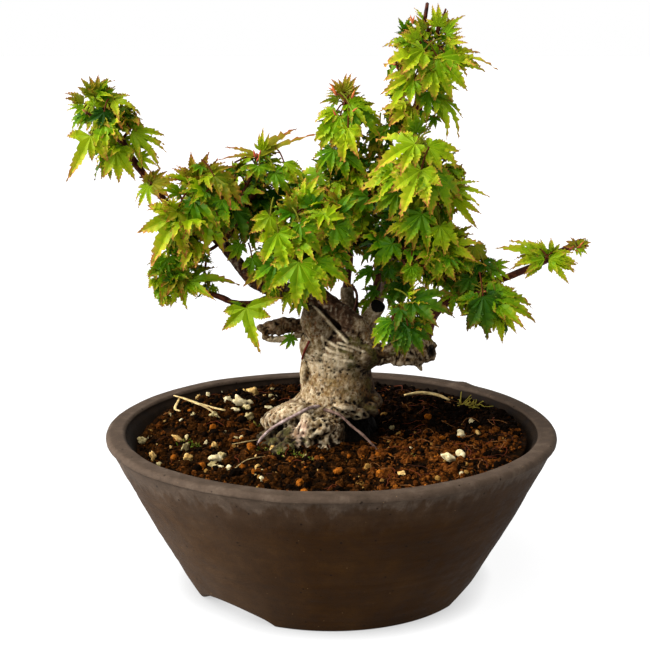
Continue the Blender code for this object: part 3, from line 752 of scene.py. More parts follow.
def make_straw():
    """Two bits of dried straw, a tuft of fibre and some shreds of green moss."""
    out = Build()

    def blade(points, widths, mat, thick=0.45):
        path = smooth_path(points, 5)
        w = np.interp(np.linspace(0, 1, len(path)), np.linspace(0, 1, len(widths)), widths)
        _, s, n = frames_along(path)
        up = np.array([0, 0, 1.0])
        s = unit(np.cross(np.gradient(path, axis=0), up))
        n = np.cross(s, unit(np.gradient(path, axis=0)))
        a = np.arange(8) * np.pi / 4
        ring = (np.cos(a)[None, :, None] * s[:, None] * w[:, None, None] / 2
                + np.sin(a)[None, :, None] * n[:, None] * (thick * (0.4 + 0.6 * w / w.max()))[:, None, None] / 2)
        ring *= 1 + 0.2 * noise3(ring * 3 + path[:, None] * 0.7, 8)[..., None]
        v = (path[:, None] + ring).reshape(-1, 3)
        k = np.arange(8)
        rows = np.arange(len(path) - 1)[:, None] * 8
        q = np.stack([rows + k, rows + (k + 1) % 8, rows + 8 + (k + 1) % 8, rows + 8 + k], -1).reshape(-1, 4)
        v = np.vstack([v, path[:1], path[-1:]])
        t = np.vstack([np.stack([np.full(8, len(v) - 2), (k + 1) % 8, k], -1),
                       np.stack([np.full(8, len(v) - 1), len(path) * 8 - 8 + k, len(path) * 8 - 8 + (k + 1) % 8], -1)])
        out.add(v, t, q, mat, mat)

    def on(x, y, up):
        return (x, y, float(soil_height(np.array([x]), np.array([y]))[0]) + up)

    blade([on(-52.5, 30, 3.6), on(-48, 27.5, 2.8), on(-42, 24.0, 1.6), on(-34.5, 19.5, 0.9)], [0.4, 1.2, 1.6, 0.9], 0, 0.7)
    blade([on(-50.5, 28.5, 3.0), on(-51.5, 23.5, 1.6), on(-49.5, 20.5, 1.2)], [0.7, 1.0, 0.5], 0, 0.6)
    blade([on(-44, 25.0, 1.9), on(-40, 20.0, 1.1), on(-36, 13.5, 0.8)], [0.7, 0.9, 0.4], 1, 0.5)
    blade([on(24.5, 31, 2.2), on(30, 32.5, 2.7), on(36, 32, 2.0), on(39.5, 30, 1.3)], [1.0, 2.0, 1.6, 0.8], 0, 1.0)
    blade([on(-22.5, -9, 0.8), on(-26, -11.5, 1.0), on(-30.5, -12.5, 0.7)], [0.3, 0.5, 0.3], 1, 0.35)
    blade([on(-20, -24, 0.7), on(-25, -28, 1.0), on(-28.5, -33, 0.6)], [0.3, 0.45, 0.3], 1, 0.3)
    rng = rng_of(43)
    for _ in range(34):
        x, y = 46.0 + rng.normal(0, 1.9), 26.5 + rng.normal(0, 1.6)
        d = rng.normal(0, 1, 3) * (1.6, 1.6, 0.9) + (0.4, -0.3, 1.2)
        p = np.array(on(x, y, 0.5))
        v, t, q = tube(smooth_path([p, p + d * 0.6 + rng.normal(0, 0.3, 3), p + d * 1.2], 3), 0.13, 4)
        out.add(v, t, q, 2, 2)
    straw = grain_material("straw_pale", [(0.3, (150, 122, 70)), (0.6, (196, 172, 118)), (0.8, (222, 204, 158))], 1.6, 0.6, 0.15, 0.1)
    straw2 = grain_material("straw_grey", [(0.3, (104, 84, 50)), (0.6, (150, 130, 88)), (0.8, (184, 166, 122))], 1.6, 0.7, 0.1, 0.1)
    place("soil_straw", out.mesh("soil_straw", [straw, straw2, plain("fibre_moss", (134, 122, 44), 0.8, 0.1)]))

    moss = Build()
    spots = [(-45, -8.5, 2.6, 26), (-41.5, -11, 2.0, 16), (-15, -21, 3.4, 60), (-20, -17, 2.6, 40), (-10, -24, 2.4, 30),
             (-30, 22, 2.2, 12), (-24, 8, 1.8, 14), (24, -24, 2.0, 12), (-6, -27, 2.0, 14)]
    for x0, y0, spread, n in spots:
        for _ in range(n):
            x, y = x0 + rng.normal(0, spread * 0.5), y0 + rng.normal(0, spread * 0.5)
            p = np.array(on(x, y, 0.2))
            tip = p + unit(rng.normal(0, 1, 3) * (1, 1, 0.3) + (0, 0, 0.8)) * rng.uniform(0.7, 1.7)
            side = unit(np.cross(tip - p, rng.normal(0, 1, 3))) * 0.22
            mid = (p + tip) / 2 + rng.normal(0, 0.12, 3)
            m = rng.integers(0, 2)
            moss.add([p - side * 0.5, p + side * 0.5, mid + side, mid - side, tip], [(3, 2, 4)], [(0, 1, 2, 3)], m, m)
    place("soil_moss", moss.mesh("soil_moss", [plain("moss_green", (60, 78, 14), 0.8, 0.05),
                                               plain("moss_olive", (96, 92, 36), 0.8, 0.05)]))


# =============================================================== trunk and limbs
TRUNK_SECTIONS = (
    (47.3, -0.5, 0, 17, 15), (50, 0, 0.2, 15.6, 13.6), (53.5, 0.8, 0.5, 14.3, 12.6), (57.5, 1.6, 0.8, 13, 11.8),
    (62, 1.9, 1, 12, 11.2), (67, 1.2, 1.2, 11.5, 10.8), (71.5, 1.6, 1.4, 11.3, 10.4), (75.5, 2.2, 1.6, 11.2, 9.6),
    (79, 2.8, 1.8, 9.8, 8), (81.5, 3, 2, 6.4, 5))
ROOTS = ((196, 6.5, 20, 59), (238, 4, 16, 56), (266, 5.0, 15, 58), (318, 1.5, 20, 54), (4, 1.6, 20, 58),
         (62, 4, 18, 56), (128, 4.5, 20, 57))
# points, end radii, and how pale the bark is
THICK_LIMBS = {
    "bough_left": ([(1, 1, 74), (-4.5, -0.5, 89), (-15, -4, 93.5), (-24, -6, 97.5), (-33, -7.5, 109)], 4.4, 1.6),
    "stub_left": ([(-2, 2, 78.5), (-13, 2.5, 81.5), (-21.5, 2, 80)], 2.7, 1.9),
    "stub_middle": ([(5.5, 6, 76), (5.6, 8, 84), (4.6, 9, 92)], 2.7, 2.2),
    "bough_cut": ([(5, 1, 72.5), (10, 1.5, 80.5), (14.9, 2.1, 88.6)], 3.6, 2.3),
    "stub_right": ([(6, 0, 72.0), (19, -0.8, 73.4), (30.5, -1, 74.8)], 3.2, 2.7),
}
THIN_LIMBS = {
    "leader_lower": ([(12, 6.6, 79), (14, 7.6, 92), (15.4, 5.6, 108)], 1.7, 1.1),
    "leader_upper": ([(23.5, 3.5, 134), (25, 4, 142), (25.6, 3.6, 149)], 1.1, 0.9),
    "snag_top": ([(27, 2.8, 168), (27.5, 2.2, 174), (28.2, 2, 179)], 0.8, 0.55),
    "bough_right": ([(28.5, -0.5, 76.5), (31.5, 0, 85.5), (37.5, 0.8, 90.5), (47, 1.5, 92.5)], 1.9, 1.2),
    "bough_right_outer": ([(47, 1.5, 94), (55, 0, 97.6), (66, -1, 102.5)], 1.2, 0.9),
    "bough_right_end": ([(66, -0.5, 103), (71, 2.5, 105.2), (77, 5, 107.5)], 0.9, 0.7),
    "shoot_left": ([(-44, -5, 114), (-54.6, -1, 126), (-66, 0, 143)], 1.1, 0.8),
    "twig_left_low": ([(-15.5, -5.6, 90.6), (-27, -6, 88.6), (-43, -6, 95)], 1.1, 0.7),
    "twig_left_leaf": ([(-24, -5.6, 88.4), (-25, -8, 88.6), (-26, -11, 85)], 0.8, 0.6),
    "twig_right_front": ([(19.5, -1.5, 73.5), (21.5, -6, 78.5), (22, -15, 86)], 1.1, 0.8),
    "twig_right_low": ([(38, 0.6, 90.2), (43, -2, 87.2), (48, -8, 87.2)], 0.9, 0.7),
    "bough_back_left": ([(0, 6, 76), (-6, 14, 84), (-14, 27, 98)], 2.4, 1.5),
    "bough_back_right": ([(7, 8, 74), (15, 19, 86), (25, 30, 111)], 2.2, 1.4),
}


# the limb that crosses the fork in front, from lower right to upper left
CROSSING = [(12.5, -2.0, 74.0), (8.2, -3.6, 81.6), (1.0, -4.2, 87.6), (-5.2, -4.2, 92.6), (-10.0, -4.6, 95.4)]


def trunk_loft(out):
    sec = np.array(TRUNK_SECTIONS, float)
    zs = np.linspace(45.2, 81.5, 60)
    n = 96
    a = np.arange(n) * 2 * np.pi / n
    deg = np.degrees(a)
    rings = []
    for z in zs:
        zc = max(z, sec[0, 0])
        x, y, w, d = (np.interp(zc, sec[:, 0], sec[:, k]) for k in (1, 2, 3, 4))
        c, s = np.cos(a), np.sin(a)
        r = w * d / np.hypot(d * c, w * s) - 0.55
        for root, reach, width, top in ROOTS:
            q = (deg - root + 180) % 360 - 180
            fall = max(0.0, (top - z) / (top - 47.3))
            r = r + reach * fall ** 1.4 * np.exp(-(q / width) ** 2)
        rings.append(np.stack([x + r * c, y + r * s, np.full(n, z)], -1))
    v = np.vstack(rings + [[[1, 0.5, 45.2]], [[3, 2, 82.2]]])
    k = np.arange(n)
    rows = np.arange(len(zs) - 1)[:, None] * n
    q = np.stack([rows + k, rows + (k + 1) % n, rows + n + (k + 1) % n, rows + n + k], -1).reshape(-1, 4)
    top = (len(zs) - 1) * n
    t = np.vstack([np.stack([np.full(n, len(v) - 2), (k + 1) % n, k], -1),
                   np.stack([np.full(n, len(v) - 1), top + k, top + (k + 1) % n], -1)])
    out.add(v, t, q)


def lump(out, centre, half, turn=0.0, seed=0, rough=0.25):
    """An uneven ellipsoid, turned about the depth axis."""
    v, f = ico(3)
    v = v * (1 + rough * fbm(v * 1.3 + seed * 7.1, 3, 50 + seed))[:, None] * np.asarray(half, float)
    c, s = math.cos(math.radians(turn)), math.sin(math.radians(turn))
    v = v @ np.array([[c, 0, s], [0, 1, 0], [-s, 0, c]])
    out.add(v + np.asarray(centre, float), f)


def fused(out, voxel, name):
    """One skin round everything in out, as vertices, normals and faces in mm."""
    me = out.mesh(name + "_parts", [])
    ob = bpy.data.objects.new(name + "_parts", me)
    scene.collection.objects.link(ob)
    mod = ob.modifiers.new("skin", "REMESH")
    mod.mode = "VOXEL"
    mod.voxel_size = voxel * MM
    mod.adaptivity = 0.0
    dg = bpy.context.evaluated_depsgraph_get()
    got = bpy.data.meshes.new_from_object(ob.evaluated_get(dg))
    v = np.empty(len(got.vertices) * 3, np.float32)
    got.vertices.foreach_get("co", v)
    f = np.empty(len(got.loops), np.int32)
    got.loops.foreach_get("vertex_index", f)
    bpy.data.objects.remove(ob)
    bpy.data.meshes.remove(me)
    bpy.data.meshes.remove(got)
    return v.reshape(-1, 3).astype(float) / MM, f.reshape(-1, 4)


def quad_normals(v, f):
    n = np.cross(v[f[:, 2]] - v[f[:, 0]], v[f[:, 3]] - v[f[:, 1]])
    out = np.zeros_like(v)
    for k in range(4):
        np.add.at(out, f[:, k], n)
    return unit(out)


def relax(v, f, times, amount=0.5):
    e = np.vstack([f[:, [0, 1]], f[:, [1, 2]], f[:, [2, 3]], f[:, [3, 0]]])
    deg = np.bincount(e.ravel(), minlength=len(v))
    for _ in range(times):
        s = np.zeros_like(v)
        for k in range(3):
            s[:, k] = np.bincount(e[:, 0], v[e[:, 1], k], len(v)) + np.bincount(e[:, 1], v[e[:, 0], k], len(v))
        v = v + amount * (s / deg[:, None] - v)
    return v


def near_line(v, points):
    """Distance from the vertices to a polyline, and the share along it."""
    p = np.asarray(points, float)
    best = np.full(len(v), 1e9)
    where = np.zeros(len(v))
    total = np.concatenate([[0], np.cumsum(np.linalg.norm(np.diff(p, axis=0), axis=1))])
    for i in range(len(p) - 1):
        d = p[i + 1] - p[i]
        t = np.clip(((v - p[i]) @ d) / (d @ d), 0, 1)
        q = np.linalg.norm(v - p[i] - t[:, None] * d, axis=1)
        hit = q < best
        best[hit] = q[hit]
        where[hit] = ((total[i] + t * (total[i + 1] - total[i])) / total[-1])[hit]
    return best, where


def smoothstep(a, b, x):
    t = np.clip((x - a) / (b - a), 0, 1)
    return t * t * (3 - 2 * t)


bark_points = []                          # the finished surface of the trunk


def make_trunk():
    parts = Build()
    trunk_loft(parts)
    for name, (pts, r0, r1) in THICK_LIMBS.items():
        path = smooth_path(pts, 8)
        t = np.linspace(0, 1, len(path))
        r = r0 + (r1 - r0) * t ** 0.8
        r *= 1 + 0.10 * noise3(np.column_stack([t * 7 + 3, t * 0 + r0, t * 0]), 3)
        v, tr, q = tube(path, r, 24)
        parts.add(v, tr, q)
    path = smooth_path(CROSSING, 8)
    parts.add(*tube(path, np.interp(np.linspace(0, 1, len(path)), [0, 0.3, 1], [3.0, 3.4, 2.6]), 24))
    lump(parts, (-3.6, -3.0, 83.0), (5.6, 5.6, 7.0), 18, 24, 0.12)
    lump(parts, (4.0, -4.5, 77.5), (5.6, 4.6, 5.0), 30, 25, 0.05)
    # shoulders between the trunk and its limbs
    lump(parts, (10.0, -1.5, 73.5), (5.6, 6.5, 5.6), 20, 1, 0.12)
    lump(parts, (-4.5, -1.0, 76.0), (5.4, 7.0, 6.0), -20, 2, 0.12)
    lump(parts, (3.0, -6.0, 74.0), (6.5, 3.6, 6.0), 35, 3, 0.05)
    # stub on the left: splintered, with a spur under it
    lump(parts, (-17.5, 1.5, 80.6), (4.6, 2.6, 2.0), -8, 4, 0.35)
    lump(parts, (-20.6, 2.2, 79.9), (2.3, 2.0, 1.3), -20, 5, 0.45)
    parts.add(*tube(smooth_path([(-9, 0, 79.5), (-14, -0.6, 77.9), (-18.5, -0.8, 77.6), (-21.4, -0.2, 79.0)], 5), [0.95] * 15 + [0.5], 8))
    # stub on the right: lumpy, with a knot hole at its end and a spur below
    lump(parts, (21.5, -2.0, 72.6), (5.4, 3.4, 2.6), -10, 6, 0.45)
    lump(parts, (29.6, -1.0, 74.4), (3.2, 3.4, 3.7), 15, 7, 0.35)
    lump(parts, (25.6, -1.5, 71.6), (3.0, 2.6, 1.8), 0, 8, 0.5)
    lump(parts, (17.5, -3.2, 74.0), (4.0, 2.6, 2.4), 30, 9, 0.4)
    parts.add(*tube(smooth_path([(25.6, -2, 71.4), (27.0, -2.4, 69.6), (28.2, -2.4, 67.8)], 4), np.linspace(1.0, 0.25, 9), 8))
    # root collar: the pale lump on the left, the gnarled knot in front, folds on the right
    lump(parts, (-15.5, -5.0, 54.6), (6.4, 5.6, 3.3), 35, 10, 0.28)
    lump(parts, (-11.5, -8.5, 56.0), (5.0, 4.6, 3.6), 20, 11, 0.25)
    lump(parts, (-13.5, -12.5, 49.6), (6.4, 3.6, 2.6), 38, 12, 0.25)
    lump(parts, (-18.5, -14.5, 47.0), (4.4, 3.0, 2.2), 35, 13, 0.25)
    lump(parts, (-6.2, -13.6, 51.4), (3.2, 4.0, 6.0), 8, 14, 0.35)
    lump(parts, (-3.4, -14.6, 53.8), (3.2, 3.0, 2.7), 0, 15, 0.5)
    lump(parts, (-2.0, -14.0, 49.6), (4.2, 3.4, 3.2), -15, 16, 0.5)
    lump(parts, (-8.0, -14.8, 48.2), (1.7, 3.0, 4.6), 5, 17, 0.3)
    lump(parts, (1.2, -13.2, 51.4), (2.1, 2.4, 2.6), 30, 18, 0.5)
    lump(parts, (8.6, -10.0, 56.6), (3.4, 2.4, 1.9), -22, 19, 0.4)
    lump(parts, (12.0, -6.8, 56.4), (2.4, 2.8, 2.6), 10, 20, 0.4)
    lump(parts, (4.6, -11.0, 58.6), (3.8, 2.0, 1.4), -12, 21, 0.35)
    lump(parts, (13.6, -1.5, 58.4), (2.2, 4.0, 2.6), 0, 22, 0.25)
    lump(parts, (-8.4, -3.0, 67.5), (1.2, 3.2, 3.2), 0, 23, 0.08)
    lump(parts, (-15.5, -18.0, 46.6), (5.6, 4.2, 2.4), 38, 26, 0.30)
    # roots that dive into the soil all round
    for ang, reach, z0 in ((206, 25, 53), (236, 24, 52.5), (262, 17.5, 51), (62, 20, 52), (128, 21, 53), (160, 19, 53)):
        c, s = math.cos(math.radians(ang)), math.sin(math.radians(ang))
        pts = [(1 + 9 * c, 0.5 + 8 * s, z0 + 3), (1 + 15 * c, 0.5 + 13.5 * s, z0 - 2.4),
               (1 + reach * 0.86 * c, reach * 0.80 * s, 47.6), (1 + reach * c, reach * 0.95 * s, 44.6)]
        path = smooth_path(pts, 6)
        parts.add(*tube(path, np.linspace(4.6, 1.9, len(path)), 16))

    v, f = fused(parts, 0.36, "trunk")
    v = relax(v, f, 6)
    n = quad_normals(v, f)

    # how thick the wood is near each vertex sets how deep its bark is
    thick = np.full(len(v), 11.0)
    who = np.full(len(v), 0)
    along = np.zeros(len(v))
    best = np.full(len(v), 9.0)
    body = np.array(TRUNK_SECTIONS, float)
    cx, cy, w = (np.interp(v[:, 2], body[:, 0], body[:, k]) for k in (1, 2, 3))
    best = np.minimum(best, np.hypot(v[:, 0] - cx, v[:, 1] - cy) / w)
    best[v[:, 2] > 80] = 1.6
    limbs = [*THICK_LIMBS.values(), (CROSSING, 3.3, 2.7)]
    for i, (pts, r0, r1) in enumerate(limbs, 1):
        path = smooth_path(pts, 8)
        d, t = near_line(v, path[3:])
        r = r0 + (r1 - r0) * t
        hit = d / r < best
        best[hit], who[hit], thick[hit], along[hit] = (d / r)[hit], i, r[hit], t[hit]
    amp = np.clip(thick / 7.0, 0.22, 1.0)

    low = smoothstep(60, 52, v[:, 2])                       # the gnarled root collar
    off = 0.60 * fbm(v / 7.5, 3, 101) * amp
    calm = 1 - 0.45 * smoothstep(60, 64, v[:, 2]) * (who == 0)
    off += (0.30 + 0.42 * low) * amp * calm * fbm(v / 2.6, 4, 103)
    bent = v + 0.9 * np.stack([fbm(v / 3.1 + k, 2, 105 + k) for k in range(3)], -1)
    ridged = 1 - 2 * abs(noise3(bent / np.array([1.7, 1.9, 4.6]), 107))
    ridged2 = 1 - 2 * abs(noise3(bent / np.array([0.9, 1.0, 2.4]) + 5, 108))
    off += low * (0.50 * ridged + 0.20 * ridged2) + (0.16 * ridged + 0.10 * ridged2) * (thick < 6) * np.clip(thick / 3.5, 0.4, 1)
    stub = (who == 5) | (who == 2)
    off += stub * (0.50 * fbm(v / 1.9, 3, 106) + 0.22 * ridged2)
    off += 0.17 * fbm(v / 0.95, 3, 109)
    hole = cells(v / np.array([1.5, 1.5, 1.3]), 111)
    patch = smoothstep(-0.15, 0.25, fbm(v / 6.0, 2, 113))
    pit = np.clip((0.34 - hole) / 0.34, 0, 1) * patch * (who == 0)
    off -= 0.34 * pit
    # the knot in front is eaten into holes, and fluted on its left
    kn = smoothstep(1.15, 0.85, np.linalg.norm((v - np.array([-4.2, -15.5, 51.2])) / np.array([7.4, 6.0, 7.0]), axis=1))
    folds = smoothstep(1.2, 0.8, np.linalg.norm((v - np.array([8.5, -9.0, 55.6])) / np.array([8.5, 7.5, 4.4]), axis=1))
    bent2 = v + 0.8 * np.stack([fbm(v / 1.8 + k, 2, 161 + k) for k in range(3)], -1)
    coral = np.clip((0.40 - cells(bent2 / np.array([2.1, 2.6, 1.9]), 115)) / 0.34, 0, 1) * np.maximum(kn * smoothstep(-8.6, -6.1, v[:, 0]), folds)
    flute = kn * smoothstep(-7.1, -9.1, v[:, 0])
    off += -1.1 * coral + 0.35 * flute * noise3(v / np.array([0.8, 1.2, 6.0]), 116)
    # the collar is undercut on the right, over dark soil
    under = smoothstep(1.5, 6.0, v[:, 0]) * smoothstep(55.6, 53.4, v[:, 2]) * smoothstep(8, 2, v[:, 1]) * (who == 0)
    # cracks across the upper trunk, and a long pale scar in the front
    facing = smoothstep(-0.10, -0.35, n[:, 1])
    at = shown(v)
    ring_zone = smoothstep(67, 71, v[:, 2]) * smoothstep(84, 79, v[:, 2]) * (who == 0) * facing * smoothstep(-6, 0, v[:, 0])
    crack = noise3(np.stack([v[:, 0] / 5.5, v[:, 1] / 5.5, (v[:, 2] + 0.22 * v[:, 0] + 0.5 * fbm(v / 3.0, 2, 117)) / 0.62], -1), 118)
    off += 0.16 * ring_zone * crack

    def drawn(places, wide):
        """How near each vertex that faces the front is to a line drawn there, 1 on it."""
        d, t = near_line(np.column_stack([at, np.zeros(len(at))]), [(x, y, 0) for x, y in places])
        return np.exp(-(d / wide) ** 2) * facing * (v[:, 1] < 2)

    scar = drawn([(311, 303), (322, 315), (334, 328), (347, 342)], 1.5) * (v[:, 2] > 70)
    beside = drawn([(315, 301), (326, 313), (338, 326), (350, 340)], 1.6) * (v[:, 2] > 70)
    strips = drawn([(318, 352), (328, 356), (342, 360), (352, 361)], 1.3) + drawn([(322, 338), (336, 346), (352, 351)], 1.2) \
        + drawn([(338, 343), (352, 347), (364, 352)], 1.1) + drawn([(330, 351), (344, 355)], 1.1) \
        + drawn([(322, 338), (324, 346), (330, 351)], 1.0) + drawn([(336, 346), (338, 352)], 0.9)
    off += 0.62 * scar - 0.42 * beside + 0.16 * np.clip(strips, 0, 1)
    # knot hole in the end of the right stub, hollow in the broken left stub
    for c0, rad, deep in (((31.2, -4.0, 74.6), 1.9, 2.2), ((-20.5, -0.5, 80.8), 1.4, 1.2), ((-2.4, -17.0, 52.6), 1.1, 1.0),
                          ((6.6, -12.6, 55.0), 1.3, 1.2), ((10.4, -9.6, 54.4), 1.2, 1.2)):
        d = np.linalg.norm(v - np.array(c0), axis=1)
        off -= deep * np.exp(-(d / rad) ** 2)
    # saw cut that leaves a flat face
    axis = unit(np.array([0.32, -0.62, 0.70]))
    cut_at = np.array([14.2, 0.9, 87.0])
    cut = (v - cut_at) @ axis
    head = smoothstep(-0.5, 0.1, cut) * (np.linalg.norm(v - cut_at, axis=1) < 5.0)
    v = v + n * off[:, None] * (1 - head)[:, None]
    v[:, 0] -= under * 0.30 * (v[:, 0] - 1)
    v[:, 1] -= under * 0.36 * (v[:, 1] - 1)
    cut = (v - cut_at) @ axis
    face = (cut > -0.05) & (np.linalg.norm(v - cut_at, axis=1) < 5.0)
    v[face] -= axis * np.maximum(cut[face], 0)[:, None]
    v = relax(v, f, 1, 0.25)

    nn = quad_normals(v, f)
    near_ = ((v - relax(v, f, 3, 0.6)) * nn).sum(1)
    far_ = ((v - relax(v, f, 14, 0.6)) * nn).sum(1)
    # painted shade: crevices are painted dark where the surface is concave
    crevice = np.clip(-near_ / 0.045 - 0.25, 0, 1) * 0.6 + np.clip(-far_ / 0.16 - 0.2, 0, 1) * 0.8
    # painted highlight: ridges are painted light where the surface is convex
    crest = np.clip(near_ / 0.05 - 0.5, 0, 1) * 0.6 + np.clip(far_ / 0.2 - 0.5, 0, 1) * 0.5
    me = Build()
    me.add(v, quads=f)
    mesh = me.mesh("trunk_bark", [bark_material()])

    # where the bark is pale, mossy or dark; much of the dark is painted shade, and the ridges get a painted highlight
    pale_of = np.array([0.95, 0.30, 0.10, 0.30, 0.75, 0.30, 0.12])
    tone = pale_of[who] + 0.30 * fbm(v / 5.0, 3, 121)
    # painted shade: the bark is painted browner on the trunk's right side, away from the light; it is also browner
    # towards the back, higher up and at the foot
    tone -= 0.95 * smoothstep(3.5, 12.0, v[:, 0] - 0.5 * (v[:, 1] + 6)) * smoothstep(69, 64, v[:, 2]) * (v[:, 2] > 47) * (who == 0)
    tone -= 0.8 * smoothstep(9.5, 13.0, v[:, 0]) * smoothstep(78, 74, v[:, 2]) * (who == 0)
    tone -= 0.65 * smoothstep(3, 11, v[:, 1]) * (who == 0)
    tone -= 0.55 * smoothstep(74, 79, v[:, 2] + 0.35 * v[:, 0]) * (who == 0)
    tone -= 0.85 * smoothstep(56.5, 54.0, v[:, 2])
    flare = np.linalg.norm((v - np.array([-14.0, -7.0, 56.0])) / np.array([8.0, 7.0, 4.0]), axis=1)
    tone = np.maximum(tone, (0.64 + 0.85 * fbm(v / 2.0, 3, 123)) * smoothstep(1.15, 0.8, flare))
    # painted shade: browner in deep hollows
    tone = np.maximum(tone, 1.2 * np.maximum(scar, np.clip(1.3 * strips, 0, 1))) - 0.7 * np.clip(-off - 0.35, 0, 1)
    foot_x, foot_y = shown(v).T
    flare_in = smoothstep(1.3, 0.9, flare)
    knot = np.linalg.norm((v - np.array([-5.6, -15.5, 51.0])) / np.array([6.4, 6, 6.5]), axis=1)
    tone = np.maximum(tone, smoothstep(1.1, 0.8, knot) * np.where(v[:, 0] < -7.4, 1.0, 0.60 + 0.6 * ridged - 0.25 * smoothstep(-5, -1, v[:, 0])))
    # where the right limb leaves, the bark is tan again
    neck = smoothstep(4.5, 8.5, v[:, 0]) * smoothstep(88, 83, v[:, 2]) * smoothstep(74, 77, v[:, 2]) * facing
    tone = np.maximum(tone, neck * (0.50 + 0.7 * fbm(v / 2.4, 3, 153)))
    net = smoothstep(1.2, 0.7, np.hypot((foot_x - 340) / 23, (foot_y - 347) / 11)) * facing * (who == 0)
    tone -= 0.45 * net * (1 - np.clip(strips, 0, 1)) * smoothstep(-0.1, 0.3, fbm(v / 3.0, 2, 155) + 0.15)
    chalk = 0.75 * smoothstep(1.15, 0.6, np.hypot((foot_x - 329) / 19, (foot_y - 366) / 13)) * facing * (0.55 + 0.7 * fbm(v / np.array([1.6, 1.6, 5.0]), 3, 157))
    chalk = np.maximum(chalk, np.clip(0.72 * strips, 0, 0.62))
    chalk = np.maximum(chalk, scar * smoothstep(327, 337, foot_x))
    pink = np.clip(smoothstep(1.2, 0.7, flare) * (0.15 + fbm(v / 3.0, 2, 125)) + 1.0 * smoothstep(1.1, 0.7, knot) * smoothstep(-6.4, -8.4, v[:, 0]), 0, 1)
    speck = smoothstep(0.0, 0.35, fbm(v / 5.0, 3, 127) + 0.5 * smoothstep(68, 60, v[:, 2]) + 0.25 * smoothstep(0, -8, v[:, 0])) * (who == 0)
    speck *= 1 - 0.7 * smoothstep(1.3, 0.9, knot)
    speck = np.maximum(speck, 0.8 * neck) * (1 - np.clip(1.2 * strips, 0, 1)) * (1 - 0.5 * chalk)
    moss = smoothstep(0.05, 0.45, fbm(v / 3.6, 3, 131)) * smoothstep(53.5, 49, v[:, 2]) * (v[:, 0] < 2)
    moss = np.maximum(moss, 0.9 * smoothstep(7.5, 4.5, np.linalg.norm((v - np.array([-14.5, -16.0, 49.0])) / np.array([1.4, 1, 1]), axis=1))
                      * (0.5 + fbm(v / 2.0, 2, 132)) * smoothstep(0.9, 1.3, flare) * smoothstep(0.9, 1.2, knot))
    moss += 0.7 * smoothstep(0.05, 0.35, fbm(v / 3.2, 3, 133)) * ring_zone * smoothstep(-2, 5, v[:, 0]) * (1 - np.clip(strips + scar, 0, 1))
    moss += 0.5 * smoothstep(0.15, 0.5, fbm(v / 4.0, 3, 135)) * smoothstep(72, 66, v[:, 2]) * smoothstep(2, 12, v[:, 0])
    moss += 0.22 * smoothstep(0.05, 0.5, fbm(v / 4.0, 3, 137)) * (who == 0)
    # the left bough turns dark red-brown away from the trunk
    limb = np.where(who == 1, smoothstep(0.30, 0.55, along), 0.0)
    limb = np.maximum(limb, 0.8 * smoothstep(-7.0, -10.0, v[:, 0]) * (v[:, 2] > 86))
    limb = np.maximum(limb, np.array([0, 0, 0.48, 0.25, 0, 0.30, 0.55])[who] * (1 - scar))
    limb = limb * (1 - 0.9 * neck)
    # painted shade: near-black in the right stub's knot hole, in deep hollows, in the undercut on the right and low on
    # the right side; the saw cut face, the very foot and patches on the middle stub are darker too
    dark = face * 1.0 + 0.9 * (np.linalg.norm(v - np.array([30.9, -3.4, 74.6]), axis=1) < 2.0)
    dark = dark + 0.6 * np.clip(-off - 0.8, 0, 1) + 0.55 * smoothstep(48.8, 46.6, v[:, 2]) + 0.45 * (who == 2) * smoothstep(0.0, 0.25, fbm(v / 2.0, 3, 159)) + 0.9 * under + 0.5 * smoothstep(9, 14, v[:, 0]) * smoothstep(58, 55, v[:, 2]) * (who == 0)
    # painted shade: the right side, away from the light, is painted dark (below); rust-brown lies on the collar, the
    # lower trunk and the stubs
    rust = smoothstep(0.0, 0.3, fbm(v / 2.4, 3, 143) + 0.25) * np.exp(-(((foot_x - 332) / 26) ** 2 + ((foot_y - 383) / 10) ** 2)) * facing
    rust = rust + 0.7 * smoothstep(0.1, 0.4, fbm(v / 2.6, 3, 145)) * (who == 0) * smoothstep(74, 68, v[:, 2]) * (1 - flare_in)
    rust = np.maximum(rust, (who == 2) * (0.95 + fbm(v / 2.2, 3, 147)) + (who == 5) * (0.60 + 0.9 * fbm(v / 2.2, 3, 149)))
    mottle = smoothstep(0.10, 0.38, fbm(v / np.array([1.7, 1.7, 2.6]), 3, 151)) * low * smoothstep(1.3, 0.9, np.minimum(flare, knot) * np.where(knot < flare, 1, 0.8))
    # painted shade: near-black in the knot's holes; the collar's mottling is darker too
    dark = dark + 0.50 * mottle + 0.9 * smoothstep(0.12, 0.5, coral)
    # painted shade: darker below the crossing limb, on the trunk's right and at its right foot
    dark = dark + 0.34 * smoothstep(1.2, 0.6, np.hypot((foot_x - 317) / 9, (foot_y - 324) / 13)) * facing * (1 - scar)
    dark = dark + 0.22 * smoothstep(1.2, 0.6, np.hypot((foot_x - 361) / 15, (foot_y - 366) / 15)) * facing
    dark = dark + 0.35 * smoothstep(1.2, 0.6, np.hypot((foot_x - 358) / 20, (foot_y - 411) / 12)) * facing * (who == 0)
    dark = dark * (1 - np.clip(strips, 0, 1))
